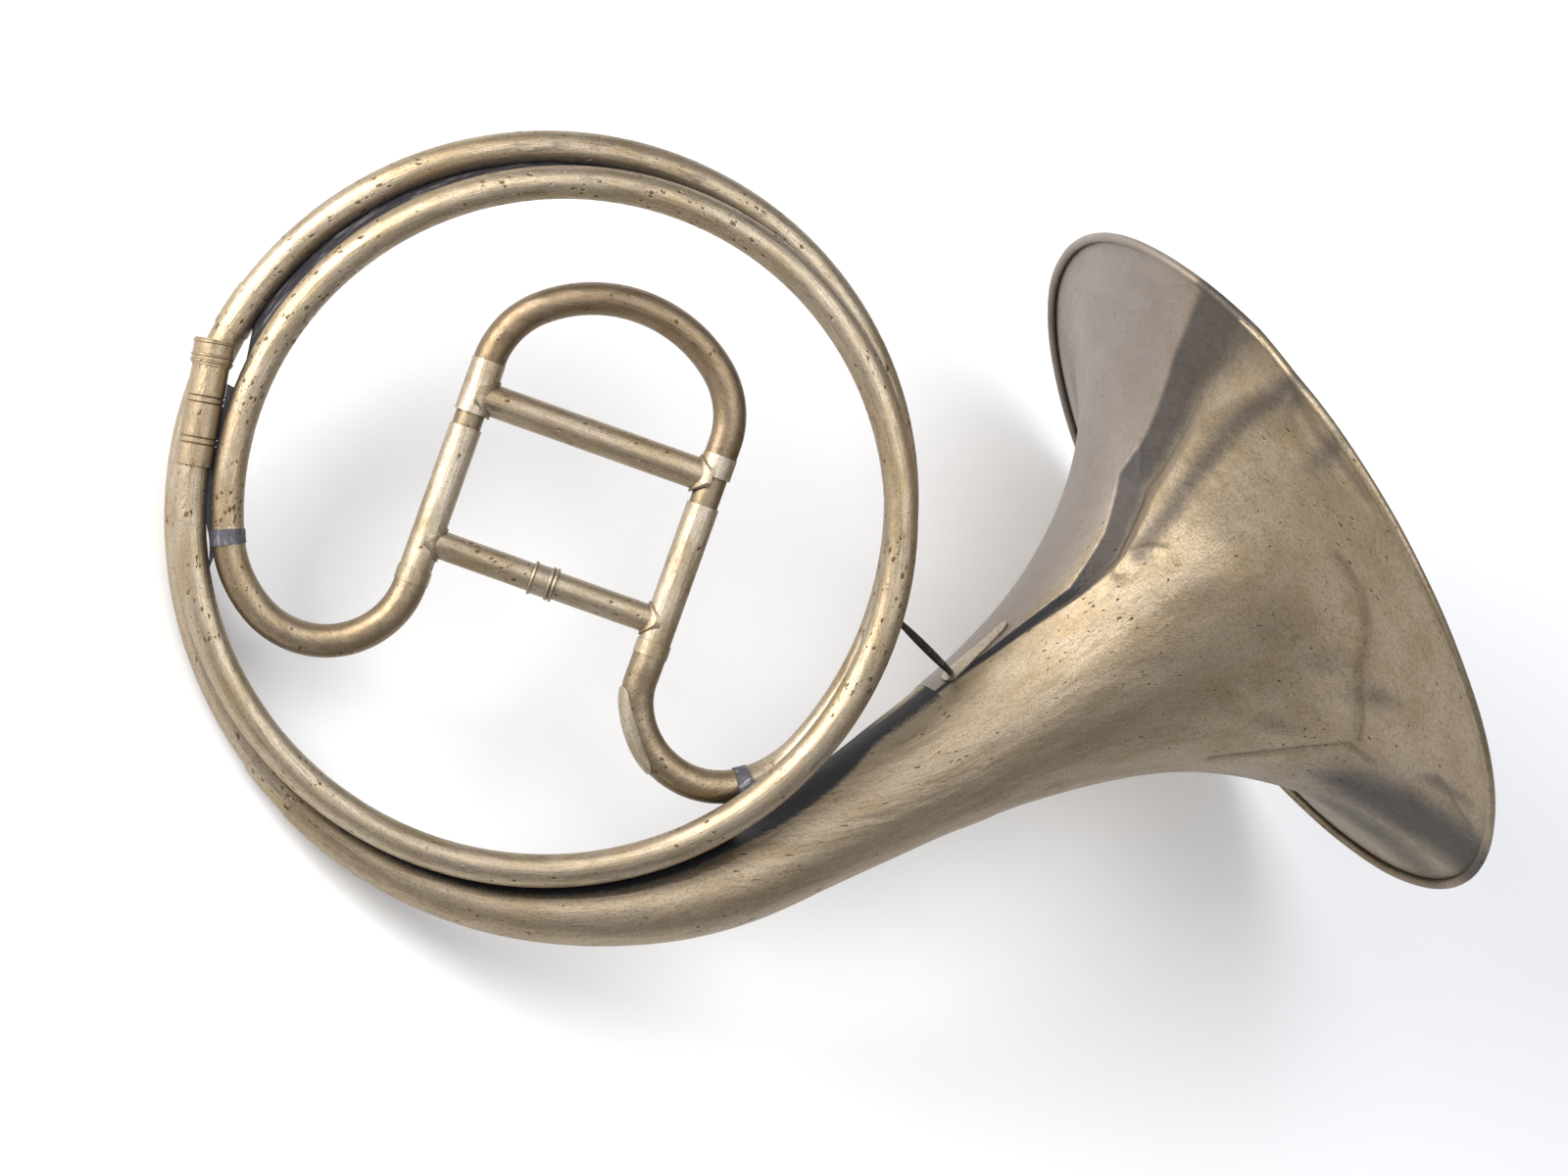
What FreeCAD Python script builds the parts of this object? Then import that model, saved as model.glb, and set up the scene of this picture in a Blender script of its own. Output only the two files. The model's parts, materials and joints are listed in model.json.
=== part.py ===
import FreeCAD, Part
import math
import os

# Natural (hand) horn without valves: a receiver for crooks, two turns of tube, a tuning slide inside
# the hoop, and a bell branch that leaves the hoop and opens into a flare.
# Every shape is drawn in the hoop's own frame: X to the bell's side, Z up the hoop, and Y through the
# hoop towards the surface that the horn lies on. At the end each piece is turned so that the horn
# lies at rest on its bell rim and on the hoop's far side. Millimetres and degrees throughout.

Vec = FreeCAD.Vector
OUT_DIR = "parts"

# ---- tube sizes -------------------------------------------------------------------------------
TUBE_R = 6.5  # outer radius of the front turn and the goosenecks
TUBE_BORE_R = 5.9
BACK_R = 6.75  # outer radius of the back turn, a little wider than the front one
BACK_BORE_R = 6.15
BACK_DEPTH = 15.6  # the back turn lies this far behind the front turn

# ---- receiver for the crooks ------------------------------------------------------------------
RECEIVER_FOOT = (-138.7, 23.5)  # x, z of the socket's lower end, where the front turn starts
FRONT_HEADING = 259.9  # direction of the tube as it leaves the socket
SOCKET_LENGTH = 49.0
SOCKET_BORE_R = 6.8
SOCKET_TOP_R = 7.2
SOCKET_FOOT_R = 7.6
TUBE_IN_SOCKET = 9.0  # how far the front turn runs up inside the socket
COLLAR_LENGTH = 10.0
COLLAR_R = 8.0
BEAD_R = 8.5
GROOVE_DEPTH = 0.35
GROOVE_WIDTH = 0.9
GROOVE_HEIGHTS = (8.0, 10.4, 24.0, 26.4)  # engraved rings, measured up from the socket's foot
COLLAR_BEADS = (1.2, 3.6, 8.8)  # above the collar's lower edge

# ---- the two turns: (radius, degrees) of each bend, counter-clockwise seen from the front -----
FRONT_BENDS = (
    (60.0, 2.8), (135.6, 63.5), (138.1, 63.5), (135.9, 63.5), (128.1, 63.5), (131.9, 63.5), (126.0, 54.0),
)
BACK_START = (96.5, -85.4)
BACK_HEADING = 47.4
BACK_UPPER_BENDS = ((142.0, 46.6), (134.5, 55.2), (140.2, 55.2), (141.0, 32.2))
BACK_LOWER_BENDS = ((141.0, 23.0), (154.9, 46.8))
SLEEVE_BEND = (154.9, 8.4)
BAND_LENGTH = 6.0  # solder bands and ferrules over a butt joint
BACK_FERRULE_DEGREES = 7.0
SLEEVE_WALL = 0.7

# ---- legs and tuning slide --------------------------------------------------------------------
LEG_LEAN = 19.6  # the slide points this far to the right of the hoop's Z
LEFT_FOOT = (-55.1, -21.6)
LEG_SPACING = 96.1
RIGHT_FOOT_RISE = 4.2
LEFT_LEG_LENGTH = 63.6
RIGHT_LEG_LENGTH = 61.4
OUTER_LEG_R = 6.4
INNER_LEG_R = 5.7
INNER_BORE_R = 5.1
SLIDE_CLEARANCE = 0.05  # radial, between inner and outer leg
INSERTED_LENGTH = 31.0
LEFT_GAP = 5.7  # bare inner leg between outer leg and ferrule at rest
RIGHT_GAP = 11.7
LEFT_FERRULE_LENGTH = 21.1
RIGHT_FERRULE_LENGTH = 8.6
SLIDE_FERRULE_R = 6.7
BOW_R = 6.4
BOW_CORNER_RADIUS = 34.2
BOW_CORNER_DEGREES = 50.0
SLIDE_STAY_R = 6.3
SLIDE_STAY_RISE = 12.9  # above the top of the left outer leg
FIXED_STAY_R = 5.5
FIXED_STAY_HEIGHT = 17.5
STAY_WALL = 0.6
FLANGE_WALL = 0.7
FLANGE_MARGIN = 1.3  # a saddle flange is this much wider than its stay, all round
STAY_FERRULE_LENGTH = 10.0
STAY_FERRULE_WALL = 0.55
STAY_BEAD_R = 0.7
STAY_BEAD_PITCH = 1.7
LEG_RING_LENGTH = 5.5
LEG_RING_WALL = 0.45

# ---- goosenecks --------------------------------------------------------------------------------
LEFT_GOOSENECK_BOTTOM = (-87.6, -44.1)
RIGHT_GOOSENECK_SIDE = (31.9, -68.0)  # its leftmost point
RIGHT_GOOSENECK_BOTTOM = (64.0, -100.6)
RIGHT_GOOSENECK_DEPTH = 10.5  # gained by its bottom
RIGHT_GOOSENECK_SLOPE = 0.2
RIGHT_SIDE_DEPTH = 2.0
RIGHT_SIDE_SLOPE = 0.13
RIGHT_JOINT_PAST_BOTTOM = 9.0  # where the gooseneck meets the tube of the back turn
GUARD_PLACE = 0.27  # part of the way along the gooseneck
GUARD_WALL = 0.8
GUARD_HALF_WIDTH = 3.6
GUARD_LENGTH = 36.0
GUARD_FACING = 41.0  # the plate faces this far round from the front towards the bend's outside

# ---- bell -------------------------------------------------------------------------------------
RIM_CENTRE = (281.0, -13.4)
RIM_R = 149.0
MOUTH_HEADING = 30.6  # direction of the bell's axis within the hoop's plane
MOUTH_LEAN = 16.3  # and its lean away from that plane
TAIL_BEND = (148.0, 40.2)  # the bell branch before it starts to lean
AXIS_LENGTH = 240.0  # straight part of the bell's axis
SHEET = 0.7
RIM_WIRE_R = 1.25
RIM_CURL_DEGREES = 300.0
TAIL_JOINT = 150.0  # distance from the mouth where the flare is brazed to the tail
TAIL_STEP = 19.0  # spacing of the tail's sections
WIRE_CLEARANCE = 0.05
# (distance from the mouth along the axis, outer radius)
BELL_PROFILE = (
    (0.0, 146.6), (4.0, 136.0), (12.0, 117.5), (24.0, 96.8), (40.0, 78.6), (60.0, 62.3),
    (85.0, 48.2), (112.0, 38.2), (150.0, 29.6), (196.0, 23.4), (240.0, 18.7), (280.0, 15.1),
    (325.0, 11.9), (377.0, 9.6), (438.0, 8.1), (480.0, 7.5),
)

# ---- bell stay and ties between the turns -----------------------------------------------------
STAY_HOOP_ANGLE = -15.6  # where the stay leaves the back turn, degrees round the hoop
STAY_ROD_R = 1.1
STAY_ROD_MIDDLE_R = 1.7
STAY_PLATE_FROM = 113.0
STAY_PLATE_TO = 146.0
STAY_PLATE_HALF_WIDTH = 4.2
STAY_PLATE_WALL = 0.9
STAY_PLATE_TURN = 30.0  # round the bell's axis, from the hoop's side towards the front
STAY_PLATE_TIP = 0.45  # half width at the narrow end, as a part of that at the broad one
HOOP_PAD_R = 4.0
HOOP_PAD_WALL = 0.8
TIE_R = 3.6
RECEIVER_TIE_PLACE = 0.4  # part of the way up the socket
TIE_ANGLES = (("turn_tie_upper", 31.0), ("turn_tie_lower", -28.0))
# solder webs between the turns: first and last angle round the hoop
UPPER_WEB = (48.0, 165.0)
LOWER_WEB = (229.0, 300.0)
LEFT_WEB = (156.5, 187.0)
WEB_HALF_THICKNESS = 1.1
WEB_STEP = 12.0
WEB_BITE = 0.5  # how far the web's edges run into the tubes' walls before they are trimmed
ROUTE_STEP = 1.0  # fineness of a search along a route
CUTTER_MARGIN = 5.0  # a cutting tool reaches this far past what it cuts

# ---- rest attitude ----------------------------------------------------------------------------
REST_PITCH = 29.2  # bell side up
REST_ROLL = 12.5  # top of the hoop up
REST_YAW = 0.0  # about the vertical

FRONT = Vec(0, -1, 0)  # towards the player's view of the hoop; also the turning axis of every turn
ALONG = Vec(math.sin(math.radians(LEG_LEAN)), 0, math.cos(math.radians(LEG_LEAN)))
ACROSS = Vec(math.cos(math.radians(LEG_LEAN)), 0, -math.sin(math.radians(LEG_LEAN)))


# ---- helpers ----------------------------------------------------------------------------------
def at(xz, depth=0.0):
    return Vec(xz[0], depth, xz[1])


def heading(degrees):
    """Unit direction in the hoop's plane, counter-clockwise from X as seen from the front."""
    return Vec(math.cos(math.radians(degrees)), 0, math.sin(math.radians(degrees)))


def turned(vector, axis, degrees):
    return FreeCAD.Rotation(axis, degrees).multVec(vector)


def straight(start, direction, length):
    return {"start": start, "direction": direction, "length": length, "radius": None}


def bend(start, direction, centre, axis, degrees):
    radius = (start - centre).Length
    length = radius * math.radians(degrees)
    return {
        "start": start, "direction": direction, "length": length,
        "radius": radius, "centre": centre, "axis": axis, "degrees": degrees,
    }


def point_on(run, fraction):
    """Point and direction part of the way along one run."""
    if run["radius"] is None:
        return run["start"] + run["direction"] * (run["length"] * fraction), run["direction"]
    spin = FreeCAD.Rotation(run["axis"], run["degrees"] * fraction)
    return run["centre"] + spin.multVec(run["start"] - run["centre"]), spin.multVec(run["direction"])


def flat_bends(start, direction, bends):
    """Runs of a tube that turns counter-clockwise in a plane parallel to the hoop's."""
    runs = []
    for radius, degrees in bends:
        side = turned(direction, FRONT, 90)
        runs.append(bend(start, direction, start + side * radius, FRONT, degrees))
        start, direction = point_on(runs[-1], 1.0)
    return runs


def bend_to(start, direction, end):
    """The bend that leaves start along direction and reaches end."""
    chord = end - start
    normal = chord - direction * chord.dot(direction)
    normal.normalize()
    radius = chord.Length**2 / (2 * normal.dot(chord))
    degrees = 2 * math.degrees(chord.getAngle(direction))
    return bend(start, direction, start + normal * radius, direction.cross(normal), degrees)


def two_bends(start, direction, end, end_direction):
    """Two tangent bends that join a start and an end with given directions."""
    chord = end - start
    both = direction + end_direction
    spread = 2 * (1 - direction.dot(end_direction))
    reach = -chord.dot(both) + math.sqrt(chord.dot(both) ** 2 + spread * chord.dot(chord))
    reach = reach / spread
    middle = (start + direction * reach + end - end_direction * reach) * 0.5
    first = bend_to(start, direction, middle)
    return [first, bend_to(middle, point_on(first, 1.0)[1], end)]


def ring_face(centre, axis, outer, inner):
    disc = Part.Face(Part.Wire(Part.makeCircle(outer, centre, axis)))
    if inner <= 0:
        return disc
    return disc.cut(Part.Face(Part.Wire(Part.makeCircle(inner, centre, axis))))


def tube(runs, outer, inner):
    """A tube, or a rod when inner is 0, along straight runs and bends."""
    pieces = []
    for run in runs:
        face = ring_face(run["start"], run["direction"], outer, inner)
        if run["radius"] is None:
            pieces.append(face.extrude(run["direction"] * run["length"]))
        else:
            pieces.append(face.revolve(run["centre"], run["axis"], run["degrees"]))
    if len(pieces) == 1:
        return pieces[0]
    return pieces[0].multiFuse(pieces[1:])


def part_of(runs, start_length, end_length):
    """The stretch of a route between two lengths along it."""
    kept = []
    done = 0.0
    for run in runs:
        low = max(start_length - done, 0.0) / run["length"]
        high = min(end_length - done, run["length"]) / run["length"]
        done += run["length"]
        if high <= low:
            continue
        start, direction = point_on(run, low)
        if run["radius"] is None:
            kept.append(straight(start, direction, run["length"] * (high - low)))
        else:
            kept.append(bend(start, direction, run["centre"], run["axis"], run["degrees"] * (high - low)))
    return kept


def route_length(runs):
    return sum(run["length"] for run in runs)


def place_on(runs, length):
    """Point and direction at a length along a route."""
    for run in runs:
        if length <= run["length"]:
            return point_on(run, length / run["length"])
        length -= run["length"]
    return point_on(runs[-1], 1.0)


def rod(start, end, outer, inner=0.0):
    direction = end - start
    length = direction.Length
    direction.normalize()
    return tube([straight(start, direction, length)], outer, inner)


def lathe(points, origin, axis):
    """A body of revolution from (height along the axis, radius) corners."""
    side = axis.cross(FRONT)
    side.normalize()
    corners = [origin + axis * height + side * radius for height, radius in points]
    corners.append(corners[0])
    return Part.Face(Part.makePolygon(corners)).revolve(origin, axis, 360)


def bead_ring(centre, axis, ring_radius, bead_radius):
    """A half-round wire ring let into the surface that it runs round."""
    return Part.makeTorus(ring_radius, bead_radius, centre, axis)


# ---- receiver ---------------------------------------------------------------------------------
def socket_axis():
    """Foot of the receiver, and the direction from there to its open end."""
    return at(RECEIVER_FOOT), heading(FRONT_HEADING + 180)


def socket_radius(height):
    """Outer radius of the tapered socket at a height above its foot."""
    return SOCKET_FOOT_R + (SOCKET_TOP_R - SOCKET_FOOT_R) * height / SOCKET_LENGTH


def receiver_socket():
    """The crook's bore above, and a closer seat for the front turn's tube below."""
    foot, axis = socket_axis()
    points = [(0.0, TUBE_R), (0.0, SOCKET_FOOT_R)]
    for height in GROOVE_HEIGHTS:
        points.append((height, socket_radius(height)))
        middle = height + GROOVE_WIDTH / 2
        points.append((middle, socket_radius(middle) - GROOVE_DEPTH))
        points.append((height + GROOVE_WIDTH, socket_radius(height + GROOVE_WIDTH)))
    points += [(SOCKET_LENGTH, SOCKET_TOP_R), (SOCKET_LENGTH, SOCKET_BORE_R)]
    points += [(TUBE_IN_SOCKET, SOCKET_BORE_R), (TUBE_IN_SOCKET, TUBE_R)]
    return lathe(points, foot, axis)


def receiver_collar():
    foot, axis = socket_axis()
    low = SOCKET_LENGTH - COLLAR_LENGTH
    points = [(low, socket_radius(low)), (low, COLLAR_R), (SOCKET_LENGTH, COLLAR_R)]
    points += [(SOCKET_LENGTH, SOCKET_TOP_R)]
    collar = lathe(points, foot, axis)
    rings = []
    for height in COLLAR_BEADS:
        rings.append(bead_ring(foot + axis * (low + height), axis, COLLAR_R, BEAD_R - COLLAR_R))
    return collar.multiFuse(rings)


# ---- front turn, left gooseneck ---------------------------------------------------------------
def front_runs():
    """The front turn, from inside the receiver round to the left gooseneck."""
    foot, axis = socket_axis()
    runs = [straight(foot + axis * TUBE_IN_SOCKET, axis * -1, TUBE_IN_SOCKET)]
    return runs + flat_bends(foot, axis * -1, FRONT_BENDS)


def left_gooseneck_runs():
    start, direction = point_on(front_runs()[-1], 1.0)
    bottom = at(LEFT_GOOSENECK_BOTTOM)
    runs = two_bends(start, direction, bottom, heading(0))
    return runs + two_bends(bottom, heading(0), left_foot(), ALONG)


# ---- legs and slide ---------------------------------------------------------------------------
def left_foot():
    return at(LEFT_FOOT)


def right_foot():
    return at(LEFT_FOOT) + ACROSS * LEG_SPACING + ALONG * RIGHT_FOOT_RISE


def outer_leg(foot, length):
    return rod(foot, foot + ALONG * length, OUTER_LEG_R, INNER_LEG_R + SLIDE_CLEARANCE)


def leg_ring(foot):
    return rod(foot, foot + ALONG * LEG_RING_LENGTH, OUTER_LEG_R + LEG_RING_WALL, OUTER_LEG_R)


def slide_ends():
    """Where the bow meets the two ferrules, left and right."""
    left = left_foot() + ALONG * (LEFT_LEG_LENGTH + LEFT_GAP + LEFT_FERRULE_LENGTH)
    right = right_foot() + ALONG * (RIGHT_LEG_LENGTH + RIGHT_GAP + RIGHT_FERRULE_LENGTH)
    return left, right


def inner_leg(foot, leg_length, bow_end):
    return rod(foot + ALONG * (leg_length - INSERTED_LENGTH), bow_end, INNER_LEG_R, INNER_BORE_R)


def slide_ferrule(bow_end, length):
    return rod(bow_end - ALONG * length, bow_end, SLIDE_FERRULE_R, INNER_LEG_R)


def bow_runs():
    """Corner, flatter crown, corner, and a short straight down to the lower right ferrule."""
    left, right = slide_ends()
    corner = math.radians(BOW_CORNER_DEGREES)
    half = LEG_SPACING / 2
    crown = (half - BOW_CORNER_RADIUS * (1 - math.cos(corner))) / math.cos(corner)
    bends = [
        (BOW_CORNER_RADIUS, BOW_CORNER_DEGREES),
        (crown, 180 - 2 * BOW_CORNER_DEGREES),
        (BOW_CORNER_RADIUS, BOW_CORNER_DEGREES),
    ]
    runs = []
    start, direction = left, ALONG
    for radius, degrees in bends:
        centre = start + turned(direction, FRONT, -90) * radius
        runs.append(bend(start, direction, centre, FRONT * -1, degrees))
        start, direction = point_on(runs[-1], 1.0)
    runs.append(straight(start, direction, (start - right).Length))
    return runs


def saddle(leg_point, leg_radius, side, stay_radius):
    """A thin plate bent round a leg, round in outline, under the end of a stay."""
    reach = leg_radius + FLANGE_WALL
    outline = rod(leg_point, leg_point + side * (2 * reach), stay_radius + FLANGE_MARGIN)
    span = 2 * (stay_radius + FLANGE_MARGIN)
    shell = rod(leg_point - ALONG * span, leg_point + ALONG * span, reach, leg_radius)
    return outline.common(shell)


def stay_tube(left_point, right_point, radius, left_leg, right_leg):
    """A stay between two legs, with both ends cut to sit on their saddles."""
    body = rod(left_point, right_point, radius, radius - STAY_WALL)
    reach = ALONG * (radius + CUTTER_MARGIN)
    for point, leg in ((left_point, left_leg), (right_point, right_leg)):
        body = body.cut(rod(point - reach, point + reach, leg + FLANGE_WALL))
    return body


def fixed_stay_points():
    left = left_foot() + ALONG * FIXED_STAY_HEIGHT
    return left, left + ACROSS * LEG_SPACING


def fixed_stay_half(is_left):
    left, right = fixed_stay_points()
    middle = (left + right) * 0.5
    body = stay_tube(left, right, FIXED_STAY_R, OUTER_LEG_R, OUTER_LEG_R)
    keep_from, keep_to = (left, middle) if is_left else (middle, right)
    return body.common(rod(keep_from, keep_to, FIXED_STAY_R + 1))


def fixed_stay_ferrule():
    left, right = fixed_stay_points()
    middle = (left + right) * 0.5
    half = STAY_FERRULE_LENGTH / 2
    outer = FIXED_STAY_R + STAY_FERRULE_WALL
    body = rod(middle - ACROSS * half, middle + ACROSS * half, outer, FIXED_STAY_R)
    edge = half - STAY_BEAD_R
    beads = []
    for x in (-edge, edge, edge - STAY_BEAD_PITCH):
        beads.append(bead_ring(middle + ACROSS * x, ACROSS, outer, STAY_BEAD_R))
    body = body.multiFuse(beads)
    return body.cut(rod(left, right, FIXED_STAY_R))


def slide_stay_points():
    left = left_foot() + ALONG * (LEFT_LEG_LENGTH + SLIDE_STAY_RISE)
    return left, left + ACROSS * LEG_SPACING


def slide_saddle_right():
    """The right saddle sits on the ferrule and hangs down over the bare inner leg."""
    _, right = slide_stay_points()
    return saddle(right, SLIDE_FERRULE_R, ACROSS * -1, SLIDE_STAY_R)


# ---- right gooseneck and back turn ------------------------------------------------------------
def right_gooseneck_runs():
    """Down from the right leg, round, and back behind the front turn."""
    bottom = at(RIGHT_GOOSENECK_BOTTOM, RIGHT_GOOSENECK_DEPTH)
    level = Vec(1, RIGHT_GOOSENECK_SLOPE, 0).normalize()
    side = at(RIGHT_GOOSENECK_SIDE, RIGHT_SIDE_DEPTH)
    down = Vec(0, RIGHT_SIDE_SLOPE, -1).normalize()
    runs = two_bends(right_foot(), ALONG * -1, side, down) + two_bends(side, down, bottom, level)
    return runs + two_bends(bottom, level, at(BACK_START, BACK_DEPTH), heading(BACK_HEADING))


def right_joint():
    """Length along the right gooseneck's axis where the wider tube of the back turn takes over."""
    return route_length(right_gooseneck_runs()[:4]) + RIGHT_JOINT_PAST_BOTTOM


def guard_plate():
    """A long oval plate soldered on the outside of the gooseneck's bend, towards the front."""
    runs = right_gooseneck_runs()
    middle = GUARD_PLACE * route_length(runs)
    stretch = part_of(runs, middle - GUARD_LENGTH / 2, middle + GUARD_LENGTH / 2)
    shell = tube(stretch, TUBE_R + GUARD_WALL, TUBE_R)
    point, direction = place_on(runs, middle)
    outward = turned(FRONT, direction, GUARD_FACING)
    if outward.dot(direction.cross(FRONT)) < 0:
        outward = turned(FRONT, direction, -GUARD_FACING)
    side = direction.cross(outward).normalize()
    half = GUARD_LENGTH / 2
    cheek = half - GUARD_HALF_WIDTH
    corners = []
    for x, y in ((-cheek, -1), (cheek, -1), (half, 0), (cheek, 1), (-cheek, 1), (-half, 0)):
        corners.append(point + direction * x + side * (y * GUARD_HALF_WIDTH))
    outline = Part.Wire([
        Part.LineSegment(corners[0], corners[1]).toShape(),
        Part.Arc(corners[1], corners[2], corners[3]).toShape(),
        Part.LineSegment(corners[3], corners[4]).toShape(),
        Part.Arc(corners[4], corners[5], corners[0]).toShape(),
    ])
    cutter = Part.Face(outline).extrude(outward * (TUBE_R * 3))
    return shell.common(cutter)


def back_upper_runs():
    return flat_bends(at(BACK_START, BACK_DEPTH), heading(BACK_HEADING), BACK_UPPER_BENDS)


def back_upper_tube_runs():
    runs = right_gooseneck_runs()
    return part_of(runs, right_joint(), route_length(runs)) + back_upper_runs()


def back_lower_runs():
    start, direction = point_on(back_upper_runs()[-1], 1.0)
    return flat_bends(start, direction, BACK_LOWER_BENDS)


def sleeve_runs():
    start, direction = point_on(back_lower_runs()[-1], 1.0)
    return flat_bends(start, direction, (SLEEVE_BEND,))


# ---- bell -------------------------------------------------------------------------------------
def mouth_axis():
    """Direction out of the bell."""
    lean = math.radians(MOUTH_LEAN)
    return heading(MOUTH_HEADING) * math.cos(lean) + Vec(0, math.sin(lean), 0)


def tail_runs():
    """Axis of the bell branch from its sleeve to the straight part of the flare."""
    start, direction = point_on(sleeve_runs()[-1], 1.0)
    runs = flat_bends(start, direction, (TAIL_BEND,))
    start, direction = point_on(runs[-1], 1.0)
    out = mouth_axis()
    end_x = RIM_CENTRE[0] - out.x * AXIS_LENGTH
    end_z = RIM_CENTRE[1] - out.z * AXIS_LENGTH
    flat_chord = math.hypot(end_x - start.x, end_z - start.z)
    depth = BACK_DEPTH + flat_chord * math.tan(math.radians(MOUTH_LEAN / 2))
    end = Vec(end_x, depth, end_z)
    runs += two_bends(start, direction, end, out)
    return runs


def mouth_centre():
    return point_on(tail_runs()[-1], 1.0)[0] + mouth_axis() * AXIS_LENGTH


def bell_curve(offset):
    """The bell's profile as a spline in (distance from the mouth, radius), moved inwards by offset."""
    spline = Part.BSplineCurve()
    spline.interpolate([Vec(distance, radius, 0) for distance, radius in BELL_PROFILE])
    if offset == 0:
        return spline
    first, last = spline.FirstParameter, spline.LastParameter
    moved = []
    steps = 2 * len(BELL_PROFILE)
    for i in range(steps + 1):
        u = first + (last - first) * i / steps
        tangent = spline.tangent(u)[0]
        moved.append(spline.value(u) + Vec(tangent.y, -tangent.x, 0) * offset)
    inner = Part.BSplineCurve()
    inner.interpolate(moved)
    return inner


def crossing(curve, distance):
    """Parameter and radius where a profile curve passes a distance from the mouth."""
    level = Part.Line(Vec(distance, 0, 0), Vec(distance, 1, 0))
    point = curve.intersectCC(level)[0]
    return curve.parameter(Vec(point.X, point.Y, 0)), point.Y


def bell_sheet(nearest, furthest, outward, inward):
    """The bell's wall between two distances from the mouth; nearest 0 keeps the wall's own square end."""
    outer = bell_curve(-outward)
    inner = bell_curve(inward)
    edges = []
    ends = []
    for curve in (outer, inner):
        first = curve.FirstParameter if nearest == 0 else crossing(curve, nearest)[0]
        last = crossing(curve, furthest)[0]
        edges.append(curve.toShape(first, last))
        ends.append((curve.value(first), curve.value(last)))
    edges.append(Part.makeLine(ends[0][0], ends[1][0]))
    edges.append(Part.makeLine(ends[0][1], ends[1][1]))
    wire = Part.Wire(Part.__sortEdges__(edges))
    return Part.Face(wire).revolve(Vec(0, 0, 0), Vec(1, 0, 0), 360)


def rim_frame():
    """Centre of the rim wire in the profile's plane, and the direction from it to the sheet."""
    spline = bell_curve(0)
    tangent = spline.tangent(spline.FirstParameter)[0]
    outward = Vec(-tangent.y, tangent.x, 0)
    edge = spline.value(spline.FirstParameter)
    return edge + outward * RIM_WIRE_R, outward * -1


def rim_curl():
    """The edge of the sheet, rolled outwards round the rim wire."""
    centre, to_sheet = rim_frame()
    turn = Vec(0, 0, -1)
    arcs = []
    for radius in (RIM_WIRE_R, RIM_WIRE_R + SHEET):
        arm = to_sheet * radius
        points = [centre + turned(arm, turn, RIM_CURL_DEGREES * f) for f in (0, 0.5, 1)]
        arcs.append((points, Part.Arc(*points).toShape()))
    (inner_points, inner), (outer_points, outer) = arcs
    edges = [inner, outer, Part.makeLine(inner_points[0], outer_points[0])]
    edges.append(Part.makeLine(inner_points[2], outer_points[2]))
    wire = Part.Wire(Part.__sortEdges__(edges))
    return Part.Face(wire).revolve(Vec(0, 0, 0), Vec(1, 0, 0), 360)


def on_bell_axis(shape):
    """Moves a shape made about X, with the mouth at the origin, on to the bell's axis."""
    moved = shape.copy()
    spin = FreeCAD.Rotation(Vec(1, 0, 0), mouth_axis() * -1)
    moved.Placement = FreeCAD.Placement(mouth_centre(), spin)
    return moved


def bell_flare():
    return on_bell_axis(bell_sheet(0, TAIL_JOINT, 0, SHEET).fuse(rim_curl()))


def bell_rim_wire():
    centre, _ = rim_frame()
    wire = Part.makeTorus(centre.y, RIM_WIRE_R - WIRE_CLEARANCE, Vec(centre.x, 0, 0), Vec(1, 0, 0))
    return on_bell_axis(wire)


def tail_skin(wall):
    """The branch from the sleeve to the flare, lofted through round sections, less a wall."""
    runs = tail_runs()
    curve = bell_curve(0)
    curved = route_length(runs)
    runs.append(straight(*point_on(runs[-1], 1.0), AXIS_LENGTH - TAIL_JOINT))
    length = route_length(runs)
    steps = round(length / TAIL_STEP)
    sections = []
    for i in range(steps + 1):
        travelled = length * i / steps
        point, direction = place_on(runs, travelled)
        distance = AXIS_LENGTH + curved - travelled
        radius = crossing(curve, distance)[1] - wall
        sections.append(Part.Wire(Part.makeCircle(radius, point, direction)))
    return Part.makeLoft(sections, True)


def bell_tail():
    return tail_skin(0.0).cut(tail_skin(SHEET))


def bell_sleeve():
    """Joins the back turn to the bell branch."""
    return tube(sleeve_runs(), BACK_R + SLEEVE_WALL, BACK_R)


# ---- bell stay and ties -----------------------------------------------------------------------
def plate_frame(distance):
    """A point on the bell's axis under the stay plate, and the way outwards from there."""
    hoopwards = heading(MOUTH_HEADING + 90)
    frontwards = mouth_axis().cross(hoopwards) * -1
    if frontwards.y > 0:
        frontwards = frontwards * -1
    turn = math.radians(STAY_PLATE_TURN)
    outward = hoopwards * math.cos(turn) + frontwards * math.sin(turn)
    return mouth_centre() - mouth_axis() * distance, outward


def bell_stay_plate():
    """A tapering plate bent to the throat of the bell, broad where the rod meets it."""
    skin = stay_plate_skin(0)
    centre, outward = plate_frame((STAY_PLATE_FROM + STAY_PLATE_TO) / 2)
    side = mouth_axis().cross(outward)
    half = (STAY_PLATE_TO - STAY_PLATE_FROM) / 2
    broad, narrow = STAY_PLATE_HALF_WIDTH, STAY_PLATE_HALF_WIDTH * STAY_PLATE_TIP
    outline_points = (
        (broad - half, -broad), (half - narrow, -narrow), (half, 0),
        (half - narrow, narrow), (broad - half, broad), (-half, 0),
    )
    corners = [centre + mouth_axis() * x + side * y for x, y in outline_points]
    outline = Part.Wire([
        Part.makeLine(corners[0], corners[1]),
        Part.Arc(corners[1], corners[2], corners[3]).toShape(),
        Part.makeLine(corners[3], corners[4]),
        Part.Arc(corners[4], corners[5], corners[0]).toShape(),
    ])
    return skin.common(Part.Face(outline).extrude(outward * (RIM_R / 2)))


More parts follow.
